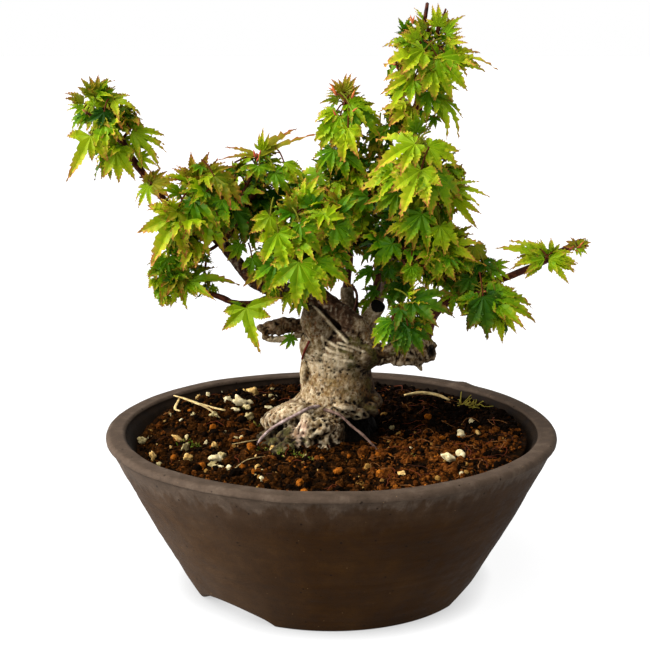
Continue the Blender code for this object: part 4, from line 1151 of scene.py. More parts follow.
    # painted shade: the trunk's right side is painted darker and rust-brown, and its painted ridge highlight is
    # weakened there
    side = smoothstep(4.5, 11.5, v[:, 0] + 0.35 * (v[:, 1] + 8) + 2.0 * fbm(v / 4.0, 3, 139)) * smoothstep(80, 72, v[:, 2]) * (who == 0)
    dark = dark + 0.27 * side
    rust = np.maximum(rust, 0.5 * side * smoothstep(0.0, 0.3, fbm(v / 2.0, 3, 171) + 0.1))
    crest = crest * (1 - 0.7 * side) * (1 - 0.6 * (who == 2))
    foot = shown(v)
    moss_foot = smoothstep(0.10, 0.45, 1 - ((foot[:, 0] - 281) / 36) ** 2 - ((foot[:, 1] - 443) / 19) ** 2) * (v[:, 1] < 0)
    moss_foot *= smoothstep(303, 297, foot[:, 0] + 0.12 * (foot[:, 1] - 440)) * smoothstep(1.15, 1.4, flare)
    dark = dark + 0.62 * moss_foot * (0.75 + fbm(v / 2.0, 2, 141))
    crest = crest * (1 - 0.8 * moss_foot)
    for key, val in (("tone", tone), ("moss", moss), ("limb", limb), ("pink", pink), ("speck", speck), ("dark", dark), ("crevice", crevice), ("crest", crest), ("rust", rust), ("chalk", chalk)):
        at = mesh.attributes.new(key, "FLOAT", "POINT")
        at.data.foreach_set("value", np.clip(val, 0, 1).astype(np.float32))
    bark_points.append(v)
    print("trunk faces", len(f) * 2)
    return place("trunk_and_boughs", mesh, ["trunk", *THICK_LIMBS])


# =============================================================== leaves
# Lobes of a seven-part leaf: angle from the middle one, length, share of the width
LOBES_7 = ((-116, 0.30, 0.55), (-78, 0.58, 0.80), (-38, 0.86, 0.96), (0, 1.0, 1.05), (38, 0.86, 0.96), (78, 0.58, 0.80), (116, 0.30, 0.55))
LOBES_5 = ((-82, 0.50, 0.76), (-40, 0.84, 0.96), (0, 1.0, 1.05), (40, 0.84, 0.96), (82, 0.50, 0.76))
U_KNOTS = np.array([0.0, 0.10, 0.25, 0.42, 0.60, 0.76, 0.89, 1.0])
W_KNOTS = np.array([0.80, 0.97, 1.00, 0.86, 0.58, 0.31, 0.13, 0.0])
STEPS, VEIN = 7, 7                                   # green by the stalk, through lime to a brown tip


def leaf(out, base, axis, normal, size, rng, droop=0.9, fold=0.35, spread=1.0, width=0.125,
         sinus=0.31, teeth=0.20, tint=0, bronze=0.5, detail=1, lobes=None, sway=0.14, keep=None):
    """One palmate leaf. base is where its stalk joins, axis its middle lobe's
    direction, normal its upper side; droop and fold are in radians."""
    A = unit(axis)
    N = unit(np.asarray(normal, float) - A * np.dot(normal, A))
    S = np.cross(N, A)
    B = np.asarray(base, float)
    table = lobes or (LOBES_7 if detail else LOBES_5)
    m = len(table)
    ang = np.radians(np.array([l[0] for l in table]) * spread + rng.normal(0, 5.0, m))
    lens = size * np.array([l[1] for l in table]) * (1 + rng.normal(0, 0.10, m))
    wide = width * size * np.array([l[2] for l in table]) * (1 + rng.normal(0, 0.05, m))
    bend = np.maximum(0.05, droop * (1 + rng.normal(0, 0.22, m))) / size
    curl = rng.normal(0, sway, m)
    twist = rng.normal(0, 0.22, m)
    free = (5, 9, 13)[detail] + int(rng.integers(0, 2))
    made = []
    ripe = rng.uniform(-0.20, 0.06) + 0.07 * (tint - 1)
    rs = size * sinus
    half_gap = np.radians(22.0 * spread)
    bis = np.concatenate([[ang[0] - half_gap * 1.25], (ang[1:] + ang[:-1]) / 2, [ang[-1] + half_gap * 1.25]])
    bsin = np.concatenate([[lens[0]], np.minimum(lens[1:], lens[:-1]), [lens[-1]]])
    bsin = np.minimum(rs, bsin * 0.62)                  # how far each cleft is from the base
    lift = width * size * 0.78 * math.sin(fold)

    def spread_at(r, a, k):
        """Point and direction on the bent leaf at distance r and angle a."""
        d = math.cos(a) * A + math.sin(a) * S
        kr = k * r
        x, z = np.sin(kr) / k, (1 - np.cos(kr)) / k
        return (B + d * x[:, None] - N * z[:, None], d * np.cos(kr)[:, None] - N * np.sin(kr)[:, None],
                N * np.cos(kr)[:, None] + d * np.sin(kr)[:, None])

    kb = float(np.mean(bend))
    cuts = np.array([0.0, 0.5, 1.0]) if detail else np.array([0.0, 1.0])
    nf = len(cuts)
    edge_pts = []
    for b, r_b in zip(bis, bsin):
        p, _, nn = spread_at(cuts * r_b, b, kb)
        edge_pts.append(p + nn * (cuts * lift * 0.9)[:, None])
    for i in range(m):
        L, W = lens[i], wide[i]
        rf = (bsin[i] + bsin[i + 1]) / 2 * 1.03
        u = np.linspace(0, 1, free + 1)[1:] ** 0.93
        r = np.concatenate([cuts * rf, rf + u * (L - rf)])
        a = ang[i]
        C, T, Nn = spread_at(r, a, bend[i])
        P = np.cross(N, math.cos(a) * A + math.sin(a) * S)
        C = C + P * (curl[i] * L * (np.maximum(0, r - rf) / L) ** 2)[:, None]
        tw = twist[i] * (r / L)
        ct, st = np.cos(tw)[:, None], np.sin(tw)[:, None]
        Pl = P[None] * ct + Nn * st
        Nl = Nn * ct - P[None] * st
        g = np.interp(u, U_KNOTS, W_KNOTS) * W
        k = np.arange(free)
        out_tooth = (k % 2 == 0) & (k < free - 1)
        stepf = (L - rf) / free
        for sgn, e, own in ((-1, edge_pts[i], i == 0), (1, edge_pts[i + 1], i == m - 1)):
            t_amt = teeth * (0.75 + 0.5 * rng.random(free))
            w = g * np.where(out_tooth, 1 + 0.8 * t_amt, 1 - 0.7 * t_amt)
            w[-1] = 0.0
            fwd = np.where(out_tooth, 0.55 * stepf, -0.10 * stepf)
            fwd[-1] = 0
            ruff = 0.24 * W * np.sin(k * 2.1 + 6.28 * rng.random())
            Ef = (C[nf:] + Pl[nf:] * (sgn * w * math.cos(fold))[:, None] + Nl[nf:] * (w * math.sin(fold) + ruff * (w > 0))[:, None]
                  + T[nf:] * fwd[:, None])
            E = np.vstack([e, Ef])
            Cc = C
            n = len(r)
            inner_q, mats = [], []
            if detail == 0:
                cols = [Cc, E]
            else:
                m_w = np.clip(0.032 * size / np.maximum(np.linalg.norm(E - Cc, axis=1), 1e-6), 0.12, 0.55)
                m_w[:nf] = 0.5 if not own else m_w[:nf]
                I = E + (Cc - E) * m_w[:, None]
                I[-1] = Cc[-1] * 0.4 + Cc[-2] * 0.6
                cols = [Cc, I, E]
                if detail == 2:
                    vw = np.clip(0.008 * size / np.maximum(np.linalg.norm(E - Cc, axis=1), 1e-6), 0.0, 0.4)
                    V = Cc + (E - Cc) * vw[:, None]
                    V[-1] = Cc[-1] * 0.5 + Cc[-2] * 0.5
                    M = V * 0.45 + I * 0.55 + Nl * (0.10 * np.linalg.norm(I - Cc, axis=1) * rng.uniform(-0.4, 1.0))[:, None]
                    cols = [Cc, V, M, I, E]
            nc = len(cols)
            verts = np.stack(cols, 1).reshape(-1, 3)       # station by station
            j = np.arange(n - 1)
            quads = []
            for c in range(nc - 1):
                q = np.stack([j * nc + c, j * nc + c + 1, (j + 1) * nc + c + 1, (j + 1) * nc + c], -1)
                out_by = c / (nc - 1)
                go = np.clip((j - nf + 1.5) / free, 0, 1)
                v = 0.30 + ripe + 0.62 * go ** 1.3 + (0.26 * out_by - 0.08) * (0.35 + 0.65 * go) + 0.16 * bronze * go
                if nc >= 3 and c == nc - 2:
                    v = v + 0.13 * np.where(np.arange(n - 1) < (nf + 1 if not own else 0), 0, 1) * (0.5 + go)
                v = np.where(j < nf - 1, 0.22 + ripe + 0.10 * out_by, v) + rng.normal(0, 0.028, n - 1)
                mt = np.clip((v * STEPS).astype(int), 0, STEPS - 1)
                if detail == 2 and c == 0:
                    mt[:-3] = VEIN
                inner_q.append(q if sgn < 0 else q[:, ::-1])
                mats.append(mt)
            q = np.vstack(inner_q)
            made.append((verts, q, np.concatenate(mats)))
    if keep is not None and not keep(np.vstack([v[-1] for v, _, _ in made] + [v[len(v) // 2] for v, _, _ in made])):
        return None
    for verts, q, mt in made:
        out.add(verts, quads=q, mat4=mt)
    return B


def keep_sizes(out):
    return out.triangles()


# the colour groups: seven steps from the stalk to the tips, then the vein
LEAF_LOOKS = {
    # lime is partly the young leaves' own yellow-green, partly painted light for leaves on the lit outside; deep is
    # painted shade, a darker copy of the greens for leaves inside the crown
    "lime": ((98, 133, 2), (115, 141, 4), (132, 149, 8), (148, 153, 18), (160, 152, 32), (167, 141, 46), (164, 110, 50), (136, 157, 24)),
    "green": ((53, 98, 1), (71, 110, 2), (90, 121, 2), (109, 128, 6), (125, 131, 14), (139, 122, 27), (138, 96, 33), (97, 132, 10)),
    "deep": ((22, 58, 1), (31, 67, 1), (42, 76, 1), (55, 85, 3), (69, 90, 8), (84, 85, 15), (92, 68, 20), (46, 84, 3)),
    "bronze": ((84, 102, 5), (103, 109, 9), (119, 114, 15), (130, 112, 22), (138, 105, 29), (144, 94, 36), (142, 77, 36), (120, 111, 20)),
}


class Foliage:
    def __init__(self):
        self.leaves = {}
        self.stalks = Build()
        self.twigs = Build()
        self.buds = Build()
        self.count = {}

    def group(self, look):
        """The mesh this look's leaves go to; a full one is followed by the next."""
        parts = self.leaves.setdefault(look, [Build()])
        if parts[-1].triangles() > 150000:
            parts.append(Build())
        return parts[-1]


plant = Foliage()

# The front view's frame is 650 wide and high. Places in it are given as across, down.
EYE = np.array([-2.06, -435.03, 175.10])
DIP = math.radians(12.08)
AHEAD = np.array([0.0, math.cos(DIP), -math.sin(DIP)])
ABOVE = np.array([0.0, math.sin(DIP), math.cos(DIP)])
FOCAL = 1440.9


def seen(across, down, depth):
    """The point at a place in the front view, depth mm behind the trunk's middle."""
    d = AHEAD + (across - 325) / FOCAL * np.array([1.0, 0, 0]) - (down - 325) / FOCAL * ABOVE
    return EYE + d * (depth - EYE[1]) / d[1]


def shown(p):
    """Where points fall in the front view."""
    r = np.asarray(p, float) - EYE
    m = r @ AHEAD
    return np.stack([325 + FOCAL * r[..., 0] / m, 325 - FOCAL * (r @ ABOVE) / m], -1)


# Gaps in the crown that stay open to the front: middle, half width, half height
OPEN = np.array([
    (88, 192, 17, 24), (112, 205, 9, 14), (178, 118, 24, 14), (200, 140, 22, 10), (132, 232, 14, 26), (146, 245, 6, 12), (240, 128, 20, 9), (292, 118, 20, 14), (318, 176, 8, 14),
    (384, 24, 14, 14), (372, 90, 8, 26), (362, 265, 5, 10), (482, 158, 12, 26), (500, 205, 14, 24), (505, 228, 20, 12), (560, 222, 34, 12), (552, 298, 28, 20),
    (455, 352, 20, 14), (500, 356, 40, 12), (185, 330, 40, 17), (206, 350, 14, 26), (246, 372, 26, 14), (284, 372, 18, 20),
    (228, 294, 9, 6), (222, 268, 9, 5), (270, 307, 22, 7), (344, 303, 4, 9), (366, 305, 5, 8), (60, 150, 12, 14), (48, 118, 10, 10),
    (419, 112, 5, 13), (378, 307, 9, 10), (354, 318, 16, 26), (364, 336, 10, 16), (300, 92, 14, 24), (462, 120, 10, 10), (496, 110, 16, 20), (430, 286, 4, 4), (455, 282, 4, 4), (160, 316, 12, 8)], float)


def clear_of_gaps(p, share=0.12):
    """True if few of a leaf's points would cover a gap in the front view."""
    q = shown(p)
    d = ((q[:, None, :] - OPEN[None, :, :2]) / OPEN[None, :, 2:]) ** 2
    return (d.sum(-1) < 1).any(1).mean() <= share


# The masses that the leaves fill: middle and half sizes
SPACES = np.array([
    (-67, 0, 143, 8.5, 9, 11), (-54, -7, 122, 5, 4, 3.6), (-41, -8, 118, 11, 14, 13), (-25, 6, 115, 10, 15, 12),
    (-44, -6, 97, 10, 8, 7), (-20, 4, 128.5, 11.5, 12, 4.6), (-7, -16, 111, 12, 11, 14), (4, 7, 126, 11, 13, 10),
    (7, 2, 108, 8, 9, 8), (5, 6, 145, 6, 7, 13), (27.5, 3, 165, 10, 10, 11), (25, 3, 149, 8.5, 8, 7),
    (26, -4, 128, 13, 14, 12), (19, -3, 107, 8, 9, 9), (33.5, -6, 106, 11, 12, 9), (22, -16, 87, 9, 7, 8),
    (48.5, -9, 87.5, 9.5, 8, 7), (44, 2, 95.5, 8, 8, 5), (64, -1, 103, 10, 8, 3.4), (77, 5, 107.5, 3, 3, 2),
    (-32, 31, 113, 12, 14, 10), (-4, 37, 116, 13, 14, 11), (25, 31, 115, 12, 14, 12), (36, 24, 98, 9, 11, 7),
    (-14, 26, 97, 10, 11, 6)], float)


def in_space(p, spare=2.2, share=0.22):
    """True if nearly all of a leaf's points lie in or close by some mass."""
    d = ((p[:, None, :] - SPACES[None, :, :3]) / (SPACES[None, :, 3:] + spare)) ** 2
    return (d.sum(-1).min(1) > 1).mean() <= share


def fits(p):
    return clear_of_gaps(p) and in_space(p)


def is_open(p, reach=0.0):
    q = shown(p)
    return bool(((((q - OPEN[:, :2]) / OPEN[:, 2:]) ** 2).sum(-1) < 0.8).any())


def stalk(a, b, sag, r0=0.30, r1=0.22, mat=0, sides=5):
    mid = (np.asarray(a) + b) / 2 + sag
    path = smooth_path([a, mid, b], 2)
    v, t, q = tube(path, np.linspace(r0, r1, len(path)), sides, cap=False)
    plant.stalks.add(v, None, q, mat4=mat)


def twig(points, r0, r1, mat=0, sides=7, knots=True, seed=0):
    path = smooth_path(points, 4)
    r = np.linspace(r0, r1, len(path))
    if knots:
        r = r * (1 + 0.16 * noise3(np.column_stack([np.arange(len(path)) * 0.9, np.full(len(path), seed + r0 * 9), path[:, 2] * 0.0]), 5))
        path = path + 0.22 * r0 * np.stack([noise3(path / 3.0 + s, 17 + s) for s in (0, 5, 9)], -1)
    v, t, q = tube(path, r, sides)
    plant.twigs.add(v, t, q, mat, mat)
    return path


def along_bark(places, clear, to_soil=True):
    """A path by its places in the front view. It starts in the trunk's bark, lies just in front of it where it
    crosses it, and ends in the soil."""
    pts = bark_points[0]
    at = shown(pts)

    def front(x, y, within):
        near = np.hypot(at[:, 0] - x, at[:, 1] - y) < within
        return pts[near][:, 1].min() if near.any() else None

    first = front(*places[0], 3.0)
    last = soil_spot(*places[-1])[1] if to_soil else first
    path = []
    for i, (x, y) in enumerate(places):
        deep = first + (last - first) * i / (len(places) - 1)
        bark = front(x, y, 2.2)
        if bark is not None and (i < len(places) - 1 or not to_soil):
            deep = min(deep, bark - clear) if to_soil else bark - clear
        path.append(seen(x, y, first + 1.0 if i == 0 else deep))
    if to_soil:
        path[-1] = path[-1] - np.array([0, 0, 0.8])
    print("on bark", [np.round(p, 1).tolist() for p in path])
    return path


def bud(at, direction, size, mat=0, fat=1.0):
    """A small pointed bud."""
    d = unit(direction)
    v, f = ico(1)
    s = unit(np.cross(d, (0.3, 0.2, 1.0)))
    n = np.cross(d, s)
    w = v[:, 2]
    taper = 1 - (0.45 if fat == 1 else 0.75) * np.clip(w, -0.3, 1)
    p = (v[:, :1] * s + v[:, 1:2] * n) * (0.32 * fat * size * taper)[:, None] + d * (w * 0.62 * size)[:, None]
    plant.buds.add(p + np.asarray(at, float) + d * size * 0.4, f, mat3=mat)


def blade_pose(out_dir, rng, hang=0.5, face=None):
    """Axis and upper side of a leaf that grows towards out_dir."""
    o = unit(out_dir)
    a = unit(o * 1.0 + np.array([0, 0, -hang * rng.uniform(0.1, 1.5)]) + rng.normal(0, 0.26, 3))
    up = np.array([0, 0, 1.0]) * 0.85 + o * 0.55 + (face if face is not None else 0) * rng.uniform(0.2, 1.6) + rng.normal(0, 0.34, 3)
    n = up - a * np.dot(up, a)
    if np.linalg.norm(n) < 0.15:
        n = o - a * np.dot(o, a)
    return a, unit(n)


FRONT = np.array([0.0, -1.0, 0.25])


def put_leaf(node, out_dir, size, rng, look, detail=1, stalk_len=None, hang=0.5, bronze=None, face=0.0, young=0.0, tint=None):
    """A leaf with its stalk, out from a node. It turns away from gaps, or drops."""
    node = np.asarray(node, float)
    for attempt in range(4):
        o = unit(unit(out_dir) + rng.normal(0, 0.45 * attempt, 3))
        sl = (0.34 + 0.26 * rng.random()) * size if stalk_len is None else stalk_len
        base = node + o * sl + np.array([0, 0, 0.10 * sl])
        a, n = blade_pose(o, rng, hang, FRONT * face)
        if young > 0:
            a = unit(o * 0.8 + np.array([0, 0, 0.55]) + rng.normal(0, 0.22, 3))
            n = unit(np.cross(np.cross(a, -o + np.array([0, 0, 0.4])), a) + rng.normal(0, 0.2, 3))
        br = bronze if bronze is not None else float(np.clip(rng.normal(0.35, 0.25), 0, 1))
        got = leaf(plant.group(look), base, a, n, size * (1 - 0.10 * attempt), rng,
                   droop=(0.45 + 0.95 * rng.random()) * (1 - 0.5 * young), fold=0.30 + 0.36 * rng.random() + 0.4 * young,
                   spread=(0.90 + 0.20 * rng.random()) * (1 - 0.5 * young), width=0.134 + 0.030 * rng.random() - 0.02 * young,
                   sinus=0.25 + 0.08 * rng.random(), teeth=0.13 + 0.07 * rng.random(),
                   tint=int(rng.integers(0, 3)) if tint is None else tint, bronze=br, detail=detail,
                   lobes=LOBES_5 if (detail == 0 or rng.random() < 0.35) else None, keep=fits)
        if got is not None:
            stalk(node, base + a * 0.02 * size, np.array([0, 0, 0.16 * sl]) + rng.normal(0, 0.05 * sl, 3), mat=int(rng.integers(0, 2)))
            return base
    return None


def hero(across, down, to_across, to_down, depth=-6.0, depth_to=None, look="lime", tilt=0.0, rise=0.5, from_=None, width=0.14,
         spread=0.92, droop=0.6, fold=0.34, bronze=0.45, lobes=None, tint=None, sinus=0.28, teeth=0.17, seed=0):
    """A leaf given by where its base and the tip of its middle lobe are seen."""
    rng = rng_of(61 + seed, across, down, to_across)
    width *= 1.12
    tilt += rng.normal(0, 0.35)
    rise += rng.normal(0, 0.25)
    fold = 0.12 + fold * rng.uniform(0.9, 1.5)
    droop = 0.15 + droop * rng.uniform(0.9, 1.6)
    base = seen(across, down, depth)
    tip = seen(to_across, to_down, depth if depth_to is None else depth_to)
    ax = tip - base
    n = FRONT + np.array([tilt, 0, rise])
    n = unit(n - unit(ax) * np.dot(n, unit(ax)))
    half = droop / 2
    axis = unit(ax) * math.cos(half) + n * math.sin(half)
    nn = n * math.cos(half) - unit(ax) * math.sin(half)
    size = np.linalg.norm(ax) * half / math.sin(half)
    leaf(plant.group(look), base, axis, nn, size, rng, droop=droop, fold=fold, spread=spread, width=width, sinus=sinus,
         teeth=teeth, tint=int(rng.integers(0, 3)) if tint is None else tint, bronze=bronze, detail=2, lobes=lobes, sway=0.06)
    root = base - unit(ax) * size * 0.4 + np.array([0, 2.5, 1.0]) if from_ is None else np.asarray(from_, float)
    stalk(root, base, np.array([0, 0, 0.8]), mat=int(rng.integers(0, 2)))


def pick(rng, mixture):
    """A look by its share."""
    names = list(mixture)
    p = np.array([mixture[k] for k in names], float)
    return names[int(rng.choice(len(names), p=p / p.sum()))]


def aged_and_shaded(mixture, f):
    """The mixture at a part f of the shoot: deep green far in, partly older leaves and partly painted shade; yellow and
    bronze far out, partly young leaves and partly painted light.
    """
    by = {"lime": 0.3 + 1.2 * f, "green": 1.0, "deep": 1.9 - 1.6 * f, "bronze": 0.15 + 1.6 * f}
    return {k: v * by[k] for k, v in mixture.items()}


def grow(points, rng, size=9.0, spacing=4.2, mixture=None, r0=0.6, r1=0.35, first=0.25, detail=1, hang=0.5,
         face=0.35, forks=0.35, end="leaves", depth=0, inner="deep"):
    """A shoot with pairs of leaves at its nodes, each pair turned across the last,
    now and then a side shoot, and young leaves and buds at its end."""
    mixture = mixture or {"lime": 4, "green": 4, "deep": 2, "bronze": 1}
    path = twig(points, r0, r1, mat=1 if r0 < 0.45 else 0, sides=6, seed=rng.integers(0, 99))
    seg = np.linalg.norm(np.diff(path, axis=0), axis=1)
    s = np.concatenate([[0], np.cumsum(seg)])
    total = s[-1]
    t_, sv, nv = frames_along(path)
    turn = rng.uniform(0, np.pi)
    at = total * first
    k = 0
    while at < total - 0.6:
        j = min(len(path) - 1, int(np.searchsorted(s, at)))
        f = at / total
        p = path[j]
        if not is_open(p, 2.0):
            for sgn in (1, -1):
                o = sgn * (math.cos(turn) * sv[j] + math.sin(turn) * nv[j]) + t_[j] * 0.45
                sz = size * (0.72 + 0.5 * math.sin(math.pi * min(1, f + 0.12))) * (0.85 + 0.3 * rng.random())
                look = pick(rng, aged_and_shaded(mixture, f))
                if rng.random() < 0.93:
                    put_leaf(p, o, sz, rng, look, detail, hang=hang * (0.6 + 0.8 * rng.random()), face=face)
                ln = total * rng.uniform(0.25, 0.45)
                e = p + unit(o + np.array([0, 0, 0.35])) * ln
                if depth < 1 and rng.random() < forks and f > 0.2 and in_space(e[None], -1.5, 0) and not is_open(e):
                    grow([p, (p + e) / 2 + np.array([0, 0, 0.12 * ln]), e], rng, size * 0.8, spacing * 0.8, mixture,
                         r0 * 0.7, r1 * 0.8, 0.45, detail, hang, face, 0, end, depth + 1)
                elif rng.random() < 0.25:
                    bud(p + unit(o) * r0, o * 0.6 + t_[j], rng.uniform(0.7, 1.1), int(rng.integers(1, 3)))
        turn += np.pi / 2 + rng.normal(0, 0.25)
        at += spacing * rng.uniform(0.8, 1.2) * (1 - 0.25 * f)
        k += 1
    tip, d = path[-1], t_[-1]
    if end == "leaves":
        n = 3 + int(rng.integers(0, 2))
        for i in range(n):
            a = turn + i * 2 * np.pi / n + rng.normal(0, 0.3)
            o = math.cos(a) * sv[-1] + math.sin(a) * nv[-1] + d * rng.uniform(0.3, 1.1)
            look = "bronze" if rng.random() < 0.45 else pick(rng, mixture)
            put_leaf(tip, o, size * rng.uniform(0.5, 0.85), rng, look, min(detail, 1), stalk_len=size * 0.14, hang=0.1,
                     young=rng.uniform(0, 0.7), face=0.2)
        for i in range(int(rng.integers(1, 3))):
            bud(tip, d + rng.normal(0, 0.5, 3), rng.uniform(0.8, 1.4), int(rng.integers(1, 3)))
    return path


def on_ellipsoid(n, rng, low=-0.85, high=1.0):
    """Evenly spread directions, turned at random."""
    i = np.arange(n) + 0.5
    z = low + (high - low) * i / n
    a = i * 2.399963 + rng.uniform(0, 6.28)
    r = np.sqrt(np.maximum(0, 1 - z * z))
    return np.stack([r * np.cos(a), r * np.sin(a), z], -1)


def fill(middle, half, entry, rng, shoots=8, size=9.0, inside=0.56, mixture=None, detail=1, axis_r=0.8, spacing=4.2,
         hang=0.5, face=0.35, low=-0.8, forks=0.25, via=None):
    """Shoots that spread from where a limb ends through the space of one mass."""
    middle, half, entry = (np.asarray(k, float) for k in (middle, half, entry))
    start = entry
    hub = middle + (entry - middle) * 0.25
    twig([start] + ([np.asarray(via, float)] if via is not None else []) + [hub], axis_r, axis_r * 0.8, seed=3)
    for d in on_ellipsoid(shoots, rng, low):
        target = middle + d * half * inside * rng.uniform(0.8, 1.12)
        bow = (hub + target) / 2 + np.array([0, 0, 0.10]) * np.linalg.norm(target - hub) + rng.normal(0, 0.4, 3)
        grow([hub, bow, target], rng, size * rng.uniform(0.88, 1.12), spacing, mixture, axis_r * 0.6, 0.32, 0.35,
             detail, hang, face, forks)
    return hub


# painted light and shade: BRIGHT deals more lime to shoots on the lit outside and front, SHADE more deep green to
# shoots in shade, beside the leaves' own colours
BRIGHT = {"lime": 5, "green": 3, "deep": 0.6, "bronze": 1.2}
MIXED = {"lime": 3, "green": 4, "deep": 2, "bronze": 0.8}
SHADE = {"lime": 0.6, "green": 3, "deep": 5, "bronze": 0.2}


def hero_leaves():
    """The leaves that shape the crown's outline and front."""
    A, L7, L5 = {}, LOBES_7, LOBES_5
    slim = {"width": 0.108, "lobes": LOBES_5, "sinus": 0.30}
    # top left shoot
    hero(91, 136, 68, 172, -7, look="lime", tint=2, width=0.125, droop=0.3, spread=1,
         lobes=((-55, 0.56, 0.9), (0, 1, 1.1), (42, 0.55, 0.8), (70, 0.72, 0.95), (130, 0.3, 0.6)))
    hero(116, 150, 122, 190, -6, look="lime", tint=0, width=0.125, spread=1, droop=0.35,
         lobes=((-66, 0.45, 0.8), (-26, 0.80, 0.95), (2, 1, 1), (34, 0.86, 0.95), (72, 0.42, 0.8)))
    hero(131, 132, 160, 169, -2, look="lime", tilt=0.2, spread=1, width=0.085,
         lobes=((-30, 0.6, 0.8), (0, 1, 1), (24, 0.92, 0.8), (48, 0.82, 1), (86, 0.36, 0.9)))
    hero(113, 100, 144, 114, -2, look="lime", rise=1.1, spread=1, width=0.12,
         lobes=((-52, 0.6, 0.9), (0, 1, 1), (40, 0.6, 0.9), (74, 0.4, 0.8)))
    hero(122, 118, 143, 122, 0, look="green", rise=0.9, width=0.12)
    hero(104, 112, 96, 134, -6, look="deep", width=0.14)
    hero(112, 128, 116, 150, -5, look="green", width=0.13)
    hero(97, 95, 99, 72, -2, look="bronze", rise=0.2, spread=0.7, **slim)
    hero(95, 96, 77, 75, -1, look="bronze", rise=0.2, spread=0.5, **slim)
    hero(101, 96, 110, 77, -2, look="green", rise=0.3, width=0.14)
    hero(103, 100, 124, 93, -1, look="green", rise=0.6, width=0.13)
    hero(84, 104, 58, 93, -2, look="bronze", rise=0.9, spread=0.6, **slim)
    hero(84, 108, 66, 113, -3, look="lime", rise=0.8, spread=0.8, **slim)
    hero(86, 114, 72, 132, -3, look="green", rise=0.5, spread=0.8, **slim)
    hero(108, 160, 113, 182, -4, look="green", width=0.13, spread=0.8)
    # node below it
    hero(149, 186, 140, 211, -4, look="lime", width=0.11, spread=0.8)
    hero(152, 184, 184, 190, -4, look="bronze", rise=1.0, spread=0.7, **slim)
    hero(150, 182, 145, 168, -3, look="bronze", rise=0.2, width=0.15, spread=0.8)
    hero(152, 181, 170, 172, -2, look="bronze", rise=0.8, spread=0.7, **slim)
    # left cluster
    hero(176, 214, 148, 262, -14, look="lime", tint=2, width=0.14, droop=0.3, spread=0.95, bronze=0.5)
    hero(196, 180, 206, 148, -8, look="bronze", rise=0.2, width=0.14, spread=0.75)
    hero(192, 182, 168, 168, -7, look="bronze", rise=0.7, spread=0.7, **slim)
    hero(200, 178, 190, 158, -8, look="green", rise=0.3, width=0.14, spread=0.8)
    hero(214, 176, 246, 206, -13, look="bronze", tint=0, width=0.13, spread=0.6, droop=0.5)
    hero(205, 176, 231, 164, -9, look="bronze", rise=0.8, spread=0.6, **slim)
    hero(222, 200, 216, 236, -14, look="green", width=0.15, droop=0.4)
    hero(196, 212, 206, 250, -15, look="green", width=0.15, droop=0.4, tint=2)
    hero(236, 210, 243, 246, -12, look="deep", width=0.15, tint=2)
    hero(206, 192, 178, 196, -13, look="green", width=0.13, rise=0.9)
    hero(262, 272, 246, 287, -9, look="bronze", tint=2, width=0.13)
    hero(252, 258, 262, 283, -10, look="green", width=0.14)
    hero(268, 282, 284, 300, -9, look="green", width=0.13)
    hero(272, 284, 268, 303, -9, look="lime", width=0.12)
    hero(240, 244, 226, 262, -10, look="green", width=0.13)
    # lower left cluster
    hero(168, 258, 180, 306, -10, look="green", tint=2, width=0.15, spread=0.8, droop=0.3)
    hero(189, 282, 230, 284, -10, look="green", tint=2, rise=0.9, width=0.11, spread=0.9)
    hero(184, 280, 188, 309, -9, look="lime", tint=0, width=0.12)
    hero(180, 262, 202, 254, -11, look="green", width=0.19, spread=0.9, rise=0.9)
    for i, (x, y, tx, ty) in enumerate(((158, 262, 148, 256), (156, 270, 150, 281), (158, 280, 149, 291), (162, 288, 155, 299), (168, 296, 163, 307), (160, 268, 168, 250))):
        hero(x, y, tx, ty, -8, look=("lime", "green")[i % 2], width=0.2, spread=0.9, droop=1.2, seed=i)
    # the single leaf under the left bough
    hero(246, 308, 261, 360, -11, look="lime", tint=1, width=0.115, spread=1, droop=0.15, sinus=0.22, rise=0.35, from_=(-24.5, -7, 89.5),
         lobes=((-92, 0.40, 0.9), (-56, 0.66, 0.9), (0, 1, 1.0), (58, 0.50, 0.9), (96, 0.62, 0.9)))
    hero(291, 337, 286, 350, -6, look="green", width=0.13, spread=1.1, from_=(-12, -2, 80))
    hero(240, 306, 226, 309, -9, look="green", width=0.13, from_=(-26, -6.5, 89.5))
    # upper middle-left
    hero(259, 157, 321, 133, 0, look="bronze", tint=0, rise=0.9, width=0.072, spread=1, sinus=0.12, droop=0.2, lobes=((0, 1, 0.8), (16, 0.62, 1.5)))
    hero(258, 157, 214, 155, 1, look="bronze", rise=0.9, width=0.07, spread=1, sinus=0.14, droop=0.2, lobes=((-16, 0.75, 1.0), (0, 1, 0.8)))
    hero(262, 152, 264, 128, 1, look="lime", rise=0.1, width=0.09, spread=0.5, lobes=LOBES_5)
    hero(259, 166, 257, 184, -5, look="green", tint=2, width=0.16, spread=1, droop=0.5, rise=0.9,
         lobes=((-82, 1.15, 1.1), (-40, 0.7, 0.9), (0, 1, 1), (44, 0.8, 0.9), (86, 1.35, 1.1)))
    hero(284, 162, 305, 186, -3, look="lime", tint=1, rise=1.0, width=0.09, spread=0.6, droop=0.5, lobes=LOBES_5)
    hero(275, 172, 292, 196, -5, look="green", width=0.13)
